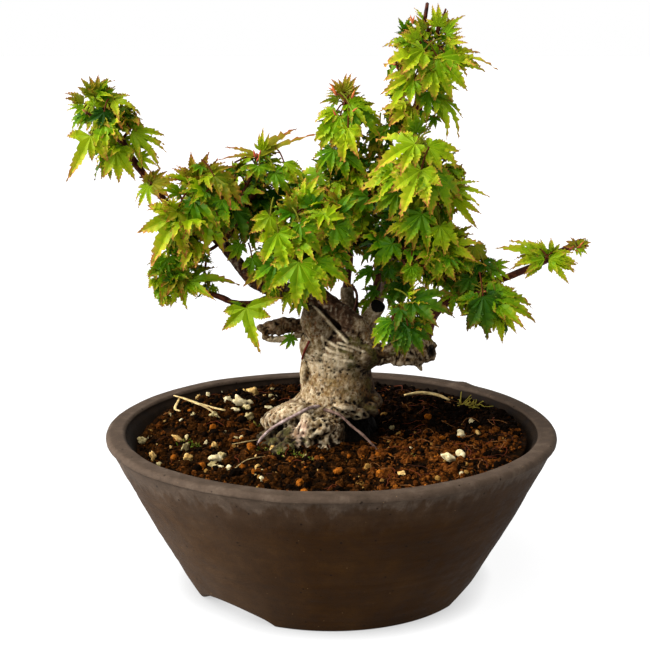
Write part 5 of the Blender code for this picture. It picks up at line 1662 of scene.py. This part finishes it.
    # centre front
    hero(299, 262, 296, 319, -26, look="lime", tint=0, width=0.125, spread=1, droop=0.3, bronze=0.35, sinus=0.24,
         lobes=((-88, 0.5, 0.9), (-40, 0.80, 1.0), (-8, 1, 1.15), (24, 0.9, 1.1), (58, 0.62, 0.9), (98, 0.36, 0.8)))
    hero(278, 233, 284, 276, -24, look="lime", tint=1, width=0.15, droop=0.4)
    hero(336, 225, 348, 258, -22, look="green", tint=2, width=0.16, droop=0.4)
    hero(338, 214, 352, 190, -18, look="green", rise=0.1, width=0.12, spread=0.9)
    hero(330, 220, 304, 238, -21, look="lime", width=0.14)
    hero(290, 214, 284, 192, -20, look="bronze", rise=0.1, width=0.13, spread=0.9)
    hero(300, 224, 318, 252, -24, look="green", tint=0, width=0.15)
    hero(270, 216, 262, 250, -23, look="lime", tint=0, width=0.14)
    hero(316, 262, 346, 284, -24, look="green", tint=2, width=0.14, spread=0.9)
    hero(276, 262, 262, 296, -22, look="green", tint=0, width=0.14)
    hero(305, 200, 320, 176, -16, look="lime", rise=0.2, width=0.12)
    hero(397, 266, 394, 300, 0, look="green", tint=2, width=0.13)
    hero(404, 282, 387, 306, -4, look="deep", width=0.14)
    hero(392, 286, 402, 312, -2, look="deep", width=0.13)
    hero(388, 262, 383, 288, 2, look="deep", width=0.13)
    hero(386, 130, 366, 148, 2, look="green", width=0.13, rise=0.9)
    hero(380, 128, 378, 154, 3, look="deep", width=0.14)
    hero(392, 122, 400, 144, 2, look="green", width=0.13)
    hero(372, 146, 388, 158, 2, look="bronze", width=0.13, rise=0.8)
    hero(276, 288, 262, 303, -8, look="green", width=0.13)
    hero(290, 294, 284, 312, -8, look="lime", width=0.12)
    hero(300, 298, 299, 318, -8, look="green", width=0.12)
    hero(134, 141, 164, 161, -1, look="lime", **slim)
    hero(128, 124, 148, 126, 0, look="green", rise=0.8, **slim)
    hero(104, 148, 100, 170, -5, look="green", width=0.13)
    hero(140, 158, 160, 166, -2, look="lime", rise=0.6, **slim)
    # between the fork and the front
    hero(372, 270, 357, 285, 3, look="green", width=0.13)
    hero(376, 290, 361, 301, 2, look="deep", width=0.13)
    hero(350, 322, 369, 317, 3, look="lime", rise=0.9, **slim)
    hero(336, 262, 352, 290, -10, look="green", width=0.13)
    hero(326, 256, 354, 256, -14, look="lime", rise=0.9, width=0.12)
    hero(352, 300, 346, 322, 8, look="deep", width=0.13)
    hero(368, 300, 374, 322, 6, look="green", width=0.12)
    hero(312, 272, 326, 306, -20, look="green", tint=2, width=0.13)
    # spire
    hero(340, 116, 318, 157, -2, look="lime", tint=0, width=0.13, spread=0.8)
    hero(336, 112, 314, 122, -1, look="lime", rise=0.9, width=0.12, spread=0.7)
    hero(348, 104, 381, 122, -1, look="lime", rise=1.0, width=0.11, spread=0.8)
    hero(352, 110, 379, 144, -2, look="green", width=0.12, spread=0.8)
    hero(342, 92, 332, 79, 2, look="bronze", rise=0.1, width=0.12, spread=0.7)
    hero(346, 92, 353, 71, 2, look="bronze", rise=0.1, width=0.11, spread=0.6)
    hero(348, 96, 361, 84, 2, look="bronze", rise=0.3, width=0.11, spread=0.7)
    hero(338, 100, 321, 101, 1, look="bronze", rise=0.8, width=0.11, spread=0.7)
    hero(348, 128, 346, 166, -5, look="lime", tint=1, width=0.15, spread=0.9)
    hero(342, 154, 366, 178, -4, look="green", width=0.14)
    hero(334, 150, 316, 176, -3, look="green", width=0.13)
    # leader top
    hero(424, 50, 380, 69, -7, look="lime", tint=2, rise=0.9, width=0.17, spread=0.8, lobes=LOBES_5)
    hero(412, 42, 386, 47, -5, look="green", rise=1.0, width=0.16, spread=0.8)
    hero(416, 40, 403, 22, -9, look="lime", tint=2, rise=0.5, width=0.14, spread=0.9)
    hero(413, 36, 400, 33, -9, look="bronze", tint=1, rise=0.6, width=0.12, spread=0.9)
    hero(438, 58, 471, 93, -7, look="lime", tint=0, width=0.12, spread=0.8, lobes=LOBES_5)
    hero(446, 54, 478, 72, -5, look="lime", tint=1, rise=0.8, width=0.13, spread=0.7, lobes=LOBES_5)
    hero(444, 60, 497, 66, -4, look="lime", tint=1, rise=1.0, width=0.075, spread=0.6, lobes=LOBES_5)
    hero(438, 26, 440, 2, -2, look="lime", rise=0.1, width=0.12, spread=0.8)
    hero(446, 34, 463, 19, -2, look="green", rise=0.5, width=0.12, spread=0.8)
    hero(448, 44, 468, 36, -3, look="lime", rise=0.8, width=0.12, spread=0.8)
    hero(424, 30, 408, 20, -2, look="bronze", rise=0.4, width=0.12, spread=0.8)
    hero(416, 74, 382, 99, -6, look="lime", tint=2, width=0.11, spread=0.7, lobes=LOBES_5)
    hero(414, 80, 394, 112, -7, look="lime", tint=0, width=0.13, spread=0.8)
    hero(437, 96, 463, 139, -4, look="lime", tint=0, width=0.085, spread=0.6, lobes=LOBES_5)
    hero(428, 92, 447, 124, -5, look="green", width=0.12, spread=0.8)
    hero(436, 86, 459, 92, -5, look="lime", rise=0.9, width=0.12, spread=0.8)
    hero(424, 56, 404, 84, -7, look="green", tint=2, width=0.15)
    hero(434, 68, 438, 104, -8, look="lime", tint=1, width=0.15)
    hero(412, 108, 380, 134, -2, look="lime", width=0.11, spread=0.8)
    hero(402, 112, 384, 116, -1, look="lime", rise=0.9, width=0.11, spread=0.8)
    # right centre
    hero(415, 144, 376, 164, -17, look="lime", tint=2, rise=0.9, width=0.15, spread=0.95, droop=0.5)
    hero(428, 147, 462, 168, -15, look="lime", tint=1, rise=0.9, width=0.12, spread=0.85)
    hero(421, 170, 400, 216, -19, look="lime", tint=0, width=0.14, spread=0.95, droop=0.35)
    hero(430, 172, 448, 217, -18, look="green", tint=2, width=0.14, spread=0.85)
    hero(400, 176, 364, 196, -14, look="lime", tint=0, rise=0.9, width=0.12, spread=0.8)
    hero(398, 192, 373, 219, -14, look="green", width=0.13, spread=0.8)
    hero(448, 188, 488, 196, -8, look="lime", tint=1, rise=1.0, width=0.085, spread=0.6, lobes=LOBES_5)
    hero(452, 194, 477, 231, -8, look="lime", tint=0, width=0.085, spread=0.6, lobes=LOBES_5)
    hero(422, 214, 408, 252, -15, look="green", tint=0, width=0.13)
    hero(440, 226, 446, 262, -15, look="lime", tint=0, width=0.13)
    hero(416, 132, 412, 106, -6, look="green", rise=0.2, width=0.12)
    hero(408, 222, 384, 240, -13, look="lime", tint=1, width=0.12)
    # right, below
    hero(446, 246, 484, 247, -9, look="lime", tint=0, rise=1.0, width=0.12, spread=0.95)
    hero(444, 242, 468, 228, -8, look="green", rise=0.9, width=0.12, spread=0.7)
    hero(440, 256, 437, 287, -14, look="green", tint=2, width=0.15)
    hero(412, 266, 411, 290, -15, look="green", tint=2, width=0.17, spread=0.8)
    hero(456, 262, 478, 272, -9, look="green", rise=0.8, width=0.13)
    hero(412, 301, 453, 318, -20, look="deep", tint=2, rise=0.8, width=0.13, spread=0.95)
    hero(408, 326, 422, 359, -22, look="deep", tint=2, width=0.135, spread=0.85)
    hero(402, 322, 395, 356, -21, look="deep", tint=2, width=0.135, spread=0.6)
    hero(392, 321, 373, 347, -19, look="green", tint=0, width=0.13, spread=0.75)
    hero(418, 318, 436, 338, -20, look="green", tint=0, width=0.12, spread=0.8)
    hero(483, 296, 490, 342, -15, look="deep", tint=2, width=0.15, spread=0.8, lobes=LOBES_5)
    hero(486, 295, 527, 298, -12, look="green", tint=0, rise=0.9, width=0.14, spread=0.7, lobes=LOBES_5)
    hero(492, 298, 538, 320, -13, look="green", tint=2, rise=0.5, width=0.105, spread=0.6, lobes=LOBES_5)
    hero(478, 298, 456, 314, -13, look="green", tint=0, rise=0.8, width=0.14, spread=0.8)
    hero(480, 301, 471, 328, -14, look="green", tint=2, width=0.14)
    hero(497, 304, 504, 341, -13, look="lime", tint=1, width=0.105, spread=0.7, lobes=LOBES_5)
    hero(470, 278, 458, 300, -10, look="deep", tint=2, width=0.14)
    hero(478, 264, 462, 278, -6, look="deep", width=0.14)
    hero(482, 262, 500, 274, -5, look="deep", tint=2, width=0.13, rise=0.9)
    hero(490, 270, 512, 279, -5, look="green", width=0.12, rise=0.9)
    hero(474, 258, 487, 250, -3, look="deep", width=0.13, rise=0.8)
    hero(496, 266, 510, 260, -3, look="green", width=0.12, rise=0.9)
    hero(454, 282, 440, 300, -8, look="green", width=0.13)
    hero(460, 290, 448, 318, -9, look="green", tint=0, width=0.12)
    # far right
    hero(544, 258, 495, 253, -5, look="lime", tint=0, rise=1.2, width=0.10, spread=0.7, lobes=LOBES_5)
    hero(545, 256, 527, 242, -5, look="lime", tint=1, rise=1.0, width=0.11, spread=0.6, lobes=LOBES_5)
    hero(546, 256, 551, 236, -4, look="lime", tint=2, rise=0.6, width=0.12, spread=0.8, lobes=LOBES_5)
    hero(548, 258, 583, 266, -6, look="lime", tint=0, rise=1.1, width=0.10, spread=0.7, lobes=LOBES_5)
    hero(545, 259, 511, 265, -7, look="green", tint=2, rise=0.9, width=0.11, spread=0.6, lobes=LOBES_5)
    hero(549, 259, 578, 276, -7, look="lime", tint=1, rise=0.7, width=0.10, spread=0.6, lobes=LOBES_5)
    hero(574, 246, 561, 239, -2, look="bronze", rise=0.5, width=0.13)
    hero(578, 246, 592, 243, -2, look="bronze", rise=0.8, width=0.14)
    hero(577, 249, 587, 256, -3, look="lime", rise=0.6, width=0.15)


def make_foliage():
    rng = rng_of(7)
    hero_leaves()
    g = lambda *a, **k: fill(*a, rng, **k)
    # limbs that show between the masses
    for name, (pts, r0, r1) in THIN_LIMBS.items():
        pts = {"twig_left_low": [seen(266, 299, -4), seen(252, 304, -5), seen(239, 304, -6), seen(222, 298, -6), seen(205, 291, -6), seen(184, 284, -6)]}.get(name, pts)
        twig(pts, r0, r1, mat=2 if name.startswith("bough_back") else 0, sides=10, seed=len(name))
    # the leader and the limbs go on through the foliage
    twig([(15.4, 5.6, 108), (17.5, 6.5, 120), (20.5, 5.2, 130), (23.5, 3.5, 134)], 1.15, 1.05, mat=0, sides=9)
    twig([(25.6, 3.6, 149), (26.5, 3.2, 158), (27.0, 2.8, 168)], 0.95, 0.8, mat=0, sides=9)
    twig([(-33, -7.5, 109), (-38, -7.0, 112), (-44, -5, 114)], 1.5, 1.1, mat=0, sides=9)
    twig([(-66, 0, 143), (-70, 0, 149), (-73, 0.5, 154)], 0.8, 0.5, mat=0)
    twig([(-9.0, -4.4, 91.5), (-9.5, -9, 99), (-8, -13, 107)], 1.5, 0.9, mat=2, sides=9)
    twig([(4.6, 9, 92), (5.5, 8, 101), (5, 7, 112), (4, 7, 122)], 1.3, 0.9, mat=0, sides=9)
    twig([(4, 7, 122), (5, 6.3, 134), (4.6, 6, 146), (4.0, 5.6, 155.5)], 0.9, 0.5, mat=0)
    twig([(-33, -7.5, 109), (-27, -1, 117), (-22, 3, 125)], 1.2, 0.8, mat=0)

    def shoot(places, size=9.0, spacing=4.4, mixture=MIXED, **k):
        """A shoot whose course is given as seen from the front: across, down, depth."""
        return grow([seen(*p) for p in places], rng, size, spacing, mixture, **k)

    # top left
    shoot([(152, 188, -1), (130, 158, -1), (113, 130, 0), (102, 106, 0), (97, 94, 0)], 8.6, 4.2, BRIGHT, first=0.28, r0=0.75, forks=0.2, face=0.5)
    shoot([(120, 142, -1), (132, 126, 3), (136, 116, 5)], 7.5, 4.0, BRIGHT, r0=0.5)
    shoot([(110, 124, 0), (96, 118, -4), (86, 112, -6)], 7.5, 4.0, BRIGHT, r0=0.5)
    shoot([(112, 128, 1), (104, 118, 6), (98, 104, 8)], 7.5, 4.0, MIXED, r0=0.5)
    # left
    shoot([(172, 214, -3), (188, 205, -7), (198, 188, -8), (204, 170, -8)], 8.6, 4.0, MIXED, r0=0.7, forks=0.3)
    shoot([(180, 222, -6), (206, 206, -12), (232, 208, -14)], 9.0, 4.2, MIXED, r0=0.6)
    shoot([(214, 236, -8), (196, 228, -12), (178, 228, -14)], 9.5, 4.4, BRIGHT, r0=0.6)
    shoot([(220, 243, -8), (210, 250, -13), (196, 252, -14)], 8.5, 4.4, SHADE, r0=0.6)
    shoot([(222, 240, -7), (232, 226, -12), (246, 222, -12)], 9.0, 4.4, SHADE, r0=0.6)
    shoot([(200, 222, 0), (212, 196, 5), (226, 182, 8)], 9.0, 4.4, MIXED, r0=0.6)
    shoot([(196, 222, 2), (186, 206, 8), (180, 196, 12)], 8.6, 4.6, MIXED, r0=0.6)
    g((-25, 6, 115), (9, 13, 11), (-27, -1, 113), shoots=7, size=9.0, mixture=SHADE)
    g((-38, 4, 118), (8, 9, 9), (-36, -5, 112), shoots=5, size=9.0, mixture=MIXED)
    # lower left
    shoot([(204, 291, -6), (186, 284, -7), (170, 276, -8), (160, 266, -8)], 6.8, 3.6, BRIGHT, r0=0.5, forks=0.1)
    shoot([(184, 284, -6), (180, 268, -8), (174, 254, -9)], 7.0, 3.8, MIXED, r0=0.45)
    shoot([(196, 288, -5), (204, 274, -3), (206, 262, -2)], 6.5, 4.8, MIXED, r0=0.4)
    # upper left-middle
    shoot([(226, 236, -4), (240, 200, 0), (252, 174, 2), (258, 156, 2)], 8.4, 4.4, MIXED, r0=0.75)
    shoot([(244, 196, 1), (266, 182, 3), (286, 176, 4)], 8.2, 4.2, MIXED, r0=0.5)
    shoot([(242, 192, 3), (226, 178, 6), (220, 168, 8)], 8.0, 4.4, MIXED, r0=0.5)
    # front middle
    shoot([(276, 298, -7), (284, 264, -14), (290, 236, -18), (298, 206, -17)], 9.8, 4.2, BRIGHT, r0=0.8, forks=0.3, face=0.6)
    shoot([(286, 254, -16), (310, 240, -21), (330, 226, -20), (338, 206, -17)], 9.2, 4.2, BRIGHT, r0=0.6, face=0.6)
    shoot([(283, 262, -14), (268, 250, -18), (262, 232, -19)], 9.2, 4.4, BRIGHT, r0=0.6, face=0.5)
    shoot([(286, 250, -12), (306, 220, -8), (318, 190, -6)], 8.8, 4.4, MIXED, r0=0.6)
    shoot([(290, 262, -14), (308, 262, -18), (326, 262, -18)], 8.8, 4.4, BRIGHT, r0=0.55, face=0.5)
    # spire and what is under it
    shoot([(352, 200, 7), (346, 160, 6), (345, 126, 6), (344, 98, 5)], 6.6, 3.6, MIXED, r0=0.7, forks=0.15)
    shoot([(347, 152, 6), (333, 142, 3), (326, 132, 2)], 6.4, 3.8, MIXED, r0=0.4)
    shoot([(346, 132, 6), (360, 124, 8), (368, 112, 9)], 6.4, 3.8, MIXED, r0=0.4)
    g((4, 7, 124), (10, 12, 10), (4.4, 7, 116), shoots=9, size=8.6, mixture=MIXED)
    g((7, 2, 108), (7, 8, 7), (5.2, 7, 106), shoots=4, size=8.0, mixture=SHADE)
    # leader top
    shoot([(420, 110, 4), (423, 76, 3), (426, 44, 3), (428, 26, 2)], 8.0, 3.9, BRIGHT, r0=0.8, forks=0.2, face=0.5)
    shoot([(422, 92, 3), (404, 76, -3), (396, 64, -5)], 8.0, 4.2, BRIGHT, r0=0.5, face=0.5)
    shoot([(424, 82, 3), (442, 72, -3), (452, 62, -5)], 8.0, 4.2, BRIGHT, r0=0.5, face=0.5)
    shoot([(425, 62, 3), (442, 46, 6), (450, 32, 6)], 7.6, 4.2, MIXED, r0=0.5)
    shoot([(424, 66, 3), (410, 50, 8), (406, 36, 9)], 7.6, 4.2, MIXED, r0=0.5)
    shoot([(420, 106, 4), (404, 112, 2), (394, 122, 2)], 7.0, 4.0, MIXED, r0=0.5)
    shoot([(421, 98, 4), (432, 108, 6), (440, 116, 6)], 7.0, 4.0, MIXED, r0=0.5)
    # right middle
    shoot([(397, 166, 4), (406, 156, -6), (418, 146, -12)], 9.6, 4.2, BRIGHT, r0=0.7, face=0.6)
    shoot([(394, 180, 4), (410, 190, -10), (424, 182, -14)], 9.6, 4.4, BRIGHT, r0=0.6, face=0.6)
    shoot([(393, 198, 5), (420, 206, -6), (442, 204, -8)], 9.4, 4.4, MIXED, r0=0.6)
    shoot([(396, 176, 5), (428, 178, 0), (452, 184, -1)], 9.0, 4.4, MIXED, r0=0.6)
    shoot([(392, 196, 5), (382, 192, -8), (376, 198, -12)], 9.0, 4.4, BRIGHT, r0=0.55)
    shoot([(396, 172, 6), (408, 150, 8), (420, 140, 9)], 9.0, 4.6, MIXED, r0=0.55)
    shoot([(390, 212, 6), (412, 220, -10), (424, 226, -13)], 8.6, 4.4, MIXED, r0=0.55, face=0.5)
    g((22, 5, 124), (11, 10, 11), (18.5, 6, 122), shoots=6, size=9.0, mixture=SHADE)
    # right, lower
    shoot([(388, 246, 5), (420, 240, -4), (450, 242, -8)], 9.2, 4.2, MIXED, r0=0.6)
    shoot([(387, 240, 4), (406, 250, -11), (424, 266, -13)], 9.0, 4.2, MIXED, r0=0.6, face=0.5)
    shoot([(386, 256, 4), (400, 258, -10), (410, 272, -13)], 8.4, 4.4, SHADE, r0=0.5)
    shoot([(390, 236, 6), (430, 252, 4), (456, 262, 2)], 8.8, 4.4, MIXED, r0=0.5)
    g((19, 1, 106), (7, 7, 8), (16.0, 5.5, 110), shoots=4, size=8.4, mixture=SHADE)
    shoot([(386, 322, -12), (400, 312, -17), (412, 304, -18)], 8.4, 4.6, MIXED, r0=0.55, face=0.4)
    shoot([(388, 326, -12), (400, 322, -18), (410, 328, -19)], 8.0, 5.0, MIXED, r0=0.5, face=0.4)
    shoot([(452, 300, -2), (468, 294, -9), (484, 292, -13)], 8.6, 4.2, SHADE, r0=0.55, face=0.3)
    shoot([(452, 296, 2), (462, 284, 4), (474, 278, 2)], 8.2, 4.4, SHADE, r0=0.5)
    shoot([(470, 294, -8), (488, 300, -8), (504, 300, -8)], 8.0, 4.6, SHADE, r0=0.45)
    shoot([(478, 294, 0), (480, 278, 0), (484, 266, -1)], 7.5, 4.0, SHADE, r0=0.4)
    shoot([(468, 292, 2), (462, 278, 0), (460, 268, -2)], 7.5, 4.0, SHADE, r0=0.4)
    shoot([(490, 290, 0), (498, 280, 0), (503, 275, 0)], 7.0, 4.0, SHADE, r0=0.4)
    shoot([(447, 302, 0), (440, 296, -6), (434, 292, -10)], 7.5, 4.0, MIXED, r0=0.4)
    shoot([(455, 298, 0), (450, 288, -6), (444, 276, -8)], 8.0, 4.4, MIXED, r0=0.5)
    # far right
    shoot([(532, 271, -3), (540, 262, -3), (552, 256, -4)], 6.2, 3.6, BRIGHT, r0=0.5, first=0.5, hang=0.1, forks=0)
    shoot([(566, 250, -2), (576, 246, -1), (586, 246, 0)], 3.6, 2.4, BRIGHT, r0=0.4, first=0.3, hang=0.1, forks=0)
    # the back of the crown
    g((-32, 31, 113), (12, 14, 10), (-14, 27, 98), shoots=9, size=9.5, mixture=MIXED, via=(-24, 29, 107), detail=1)
    g((-4, 37, 116), (13, 14, 11), (-14, 27, 98), shoots=10, size=9.5, mixture=MIXED, via=(-8, 33, 108))
    g((25, 31, 115), (12, 14, 12), (25, 30, 111), shoots=10, size=9.5, mixture=MIXED)
    g((36, 24, 98), (9, 11, 7), (18, 22, 92), shoots=7, size=9.0, mixture=MIXED, via=(28, 23, 96))
    g((-14, 26, 97), (10, 11, 6), (-14, 27, 98), shoots=8, size=9.0, mixture=MIXED)
    twig([seen(345, 330, 2), seen(354, 312, 4), seen(357, 296, 5), seen(352, 284, 6)], 0.7, 0.4, mat=0, sides=7)
    twig([seen(350, 326, 4), seen(360, 318, 3), seen(374, 311, 3)], 0.5, 0.3, mat=1, sides=6)
    # dead tips at the top
    twig([(31, 4, 168), (32.4, 4, 173), (33.9, 4, 177.4)], 0.55, 0.3, mat=0, sides=6)
    # thin roots that leave the root collar and pass in front of it, and a red shoot on the trunk's left side
    twig(along_bark([(320, 406), (312, 407.5), (303, 411), (288, 419), (272, 428), (261, 439), (257, 444)], 0.75), 0.62, 0.42, mat=3, sides=8)
    twig(along_bark([(324, 410), (332, 412), (341, 416), (352, 426), (366, 438), (379, 449)], 0.7), 0.55, 0.36, mat=4, sides=8)
    twig(along_bark([(302, 359), (305, 350), (309, 341)], 0.35, False), 0.30, 0.42, mat=5, sides=7)


def young_tips():
    """The pink tips of leaves that are still folded, each on the leaf or twig it is seen in front of."""
    pts = np.concatenate([np.concatenate(b.v) for parts in plant.leaves.values() for b in parts] + [np.concatenate(plant.twigs.v)])
    at = shown(pts)
    for x, y, dx, dy, size, mat in ((411, 22, -0.35, 1, 2.5, 3), (412, 22, 0.25, 1, 2.2, 3),
                                    (256, 157, -0.25, 1, 2.6, 0), (258, 157, 0.25, 1, 2.4, 0), (257, 160, 0.6, 1, 1.8, 0),
                                    (335, 95, -0.45, 1, 3.4, 3), (334, 93, -0.9, 0.5, 2.4, 3), (353, 97, 0.35, 1, 2.8, 3),
                                    (336, 113, -0.5, 1, 2.0, 0), (354, 111, 0.8, 0.6, 1.9, 3),
                                    (571, 248, 0.8, 0.6, 2.0, 1), (576, 246, 1, 0.2, 1.8, 1), (579, 244, 0.7, 0.8, 2.0, 3), (577, 249, 0.9, -0.6, 1.8, 1)):
        off = np.hypot(at[:, 0] - x, at[:, 1] - y)
        near = pts[off < max(2.0, off.min() + 0.5)]
        base = near[near[:, 1].argmin()]
        bud(base + np.array([0, 0.15, 0]), (dx, -0.12, dy), size, mat, 0.40)


def finish_foliage():
    young_tips()
    n = 0
    for look, parts in plant.leaves.items():
        cols = LEAF_LOOKS[look]
        mats = []
        for label, c, rough in zip(("1", "2", "3", "4", "5", "6", "tip", "vein"), cols, (0.40, 0.42, 0.40, 0.42, 0.46, 0.5, 0.5, 0.5)):
            glow = tuple(min(255, int(k * g)) for k, g in zip(c, (1.02, 1.10, 0.4)))
            mats.append(plain(f"leaf_{look}_{label}", c, rough + 0.06, 0.09, see=0.20, glow=glow))
        for i, b in enumerate(parts, 1):
            place(f"leaves_{look}_{i}", b.mesh(f"leaves_{look}_{i}", mats))
            n += b.triangles()
            print("leaves", look, i, b.triangles())
    stalks = [plain("stalk_red", (70, 32, 12), 0.6, 0.05), plain("stalk_green", (88, 90, 16), 0.6, 0.05)]
    place("leaf_stalks", plant.stalks.mesh("leaf_stalks", stalks))
    tw = [twig_material(), plain("twig_young", (62, 28, 12), 0.6, 0.05),
          grain_material("twig_old", [(0.3, (58, 42, 32)), (0.55, (104, 82, 64)), (0.8, (146, 124, 100))], 1.4, 0.75, 0.3, 0.15),
          grain_material("root_grey", [(0.3, (62, 46, 44)), (0.5, (128, 108, 102)), (0.8, (186, 170, 164))], 1.6, 0.7, 0.1, 0.12),
          grain_material("root_brown", [(0.3, (48, 34, 28)), (0.5, (96, 74, 64)), (0.8, (142, 118, 104))], 1.6, 0.7, 0.1, 0.12),
          plain("shoot_red", (84, 22, 14), 0.5, 0.1)]
    place("twigs", plant.twigs.mesh("twigs", tw), list(THIN_LIMBS))
    bm = [plain("bud_pink", (168, 66, 46), 0.5, 0.2), plain("bud_red", (128, 44, 26), 0.5, 0.2), plain("bud_olive", (128, 104, 34), 0.5, 0.2), plain("tip_orange", (176, 92, 48), 0.6, 0.15)]
    place("buds", plant.buds.mesh("buds", bm))
    print("leaf triangles", n, "stalks", plant.stalks.triangles(), "twigs", plant.twigs.triangles(), "buds", plant.buds.triangles())


MASSES = ("foliage_left_top foliage_left_node foliage_left foliage_left_inner foliage_left_low foliage_left_leaf "
          "foliage_upper_left foliage_middle_front foliage_middle foliage_middle_low foliage_spire foliage_top "
          "foliage_top_lower foliage_right_middle foliage_right_inner foliage_right_lower foliage_right_front "
          "foliage_right_low foliage_right_low_inner foliage_right_tip foliage_right_bud foliage_back_left "
          "foliage_back_middle foliage_back_right foliage_back_low_right foliage_back_low_left").split()


# =============================================================== the set
SKY, KEY, SIDE = 0.50, 4.7, 7.2


def make_floor():
    me = bpy.data.meshes.new("floor")
    s = 6.0
    me.from_pydata([(-s, -s, 0), (s, -s, 0), (s, s, 0), (-s, s, 0)], [], [(0, 1, 2, 3)])
    m = Mat("floor_white", (100, 100, 100), 0.9, 0.03)
    b = m.m.node_tree.nodes["Principled BSDF"]
    b.inputs["Emission Color"].default_value = (1, 1, 1, 1)
    # white, and a little shaded where something stands on it
    near = m.node("ShaderNodeAmbientOcclusion", Distance=0.007)
    m.link(m.maths("ADD", 0.50, m.maths("MULTIPLY", near.outputs["AO"], 0.43)), b.inputs["Emission Strength"])
    me.materials.append(m.m)
    ob = bpy.data.objects.new("floor", me)
    scene.collection.objects.link(ob)


def make_light():
    """A white surround that is dimmer overhead, a large soft light from above and in front, and one from the left."""
    w = bpy.data.worlds.new("studio")
    w.use_nodes = True
    nt = w.node_tree
    co = nt.nodes.new("ShaderNodeTexCoord")
    sep = nt.nodes.new("ShaderNodeSeparateXYZ")
    ramp = nt.nodes.new("ShaderNodeValToRGB")
    nt.links.new(co.outputs["Generated"], sep.inputs[0])
    nt.links.new(sep.outputs[2], ramp.inputs["Fac"])
    # the side the picture looks from is dimmer than the white behind
    back = nt.nodes.new("ShaderNodeValToRGB")
    nt.links.new(sep.outputs[1], back.inputs["Fac"])
    back.color_ramp.elements[0].position, back.color_ramp.elements[0].color = 0.0, (0.4, 0.4, 0.4, 1)
    back.color_ramp.elements[1].position, back.color_ramp.elements[1].color = 0.25, (1, 1, 1, 1)
    both = nt.nodes.new("ShaderNodeMix")
    both.data_type, both.blend_type = "RGBA", "MULTIPLY"
    both.inputs[0].default_value = 1.0
    nt.links.new(ramp.outputs["Color"], both.inputs[6])
    nt.links.new(back.outputs["Color"], both.inputs[7])
    # seen directly it is plain white on every side
    path = nt.nodes.new("ShaderNodeLightPath")
    plain_white = nt.nodes.new("ShaderNodeMix")
    plain_white.data_type = "RGBA"
    plain_white.inputs[7].default_value = (1, 1, 1, 1)
    nt.links.new(path.outputs["Is Camera Ray"], plain_white.inputs[0])
    nt.links.new(both.outputs[2], plain_white.inputs[6])
    nt.links.new(plain_white.outputs[2], nt.nodes["Background"].inputs["Color"])
    e = ramp.color_ramp.elements
    e[0].position, e[0].color = 0.16, (1, 1, 1, 1)
    e[1].position, e[1].color = 0.34, (SKY, SKY, SKY, 1)
    nt.nodes["Background"].inputs["Strength"].default_value = 1.0
    scene.world = w
    for name, power, angle, from_ in (("key", KEY, 62, (-0.42, -0.50, 1.2)), ("side", SIDE, 48, (-1.0, -0.16, 0.30))):
        sun = bpy.data.lights.new(name, "SUN")
        sun.energy = power
        sun.angle = math.radians(angle)
        ob = bpy.data.objects.new(name, sun)
        ob.rotation_mode = "QUATERNION"
        ob.rotation_quaternion = (-Vector(from_)).to_track_quat("-Z", "Y")
        scene.collection.objects.link(ob)


def make_camera():
    cam = bpy.data.cameras.new("camera")
    cam.sensor_width = 36.0
    cam.lens = 79.80
    cam.clip_start, cam.clip_end = 0.05, 50
    ob = bpy.data.objects.new("camera", cam)
    ob.location = (-0.00206, -0.43503, 0.17510)
    ob.rotation_euler = (math.radians(90 - 12.08), 0, 0)
    scene.collection.objects.link(ob)
    scene.camera = ob


scene.view_settings.view_transform = "Standard"
make_floor()
make_light()
make_camera()
make_pot()
make_soil_bed()
make_soil_grains()
make_straw()
make_trunk()
make_foliage()
finish_foliage()
for name in MASSES:
    pass
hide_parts(*MASSES)
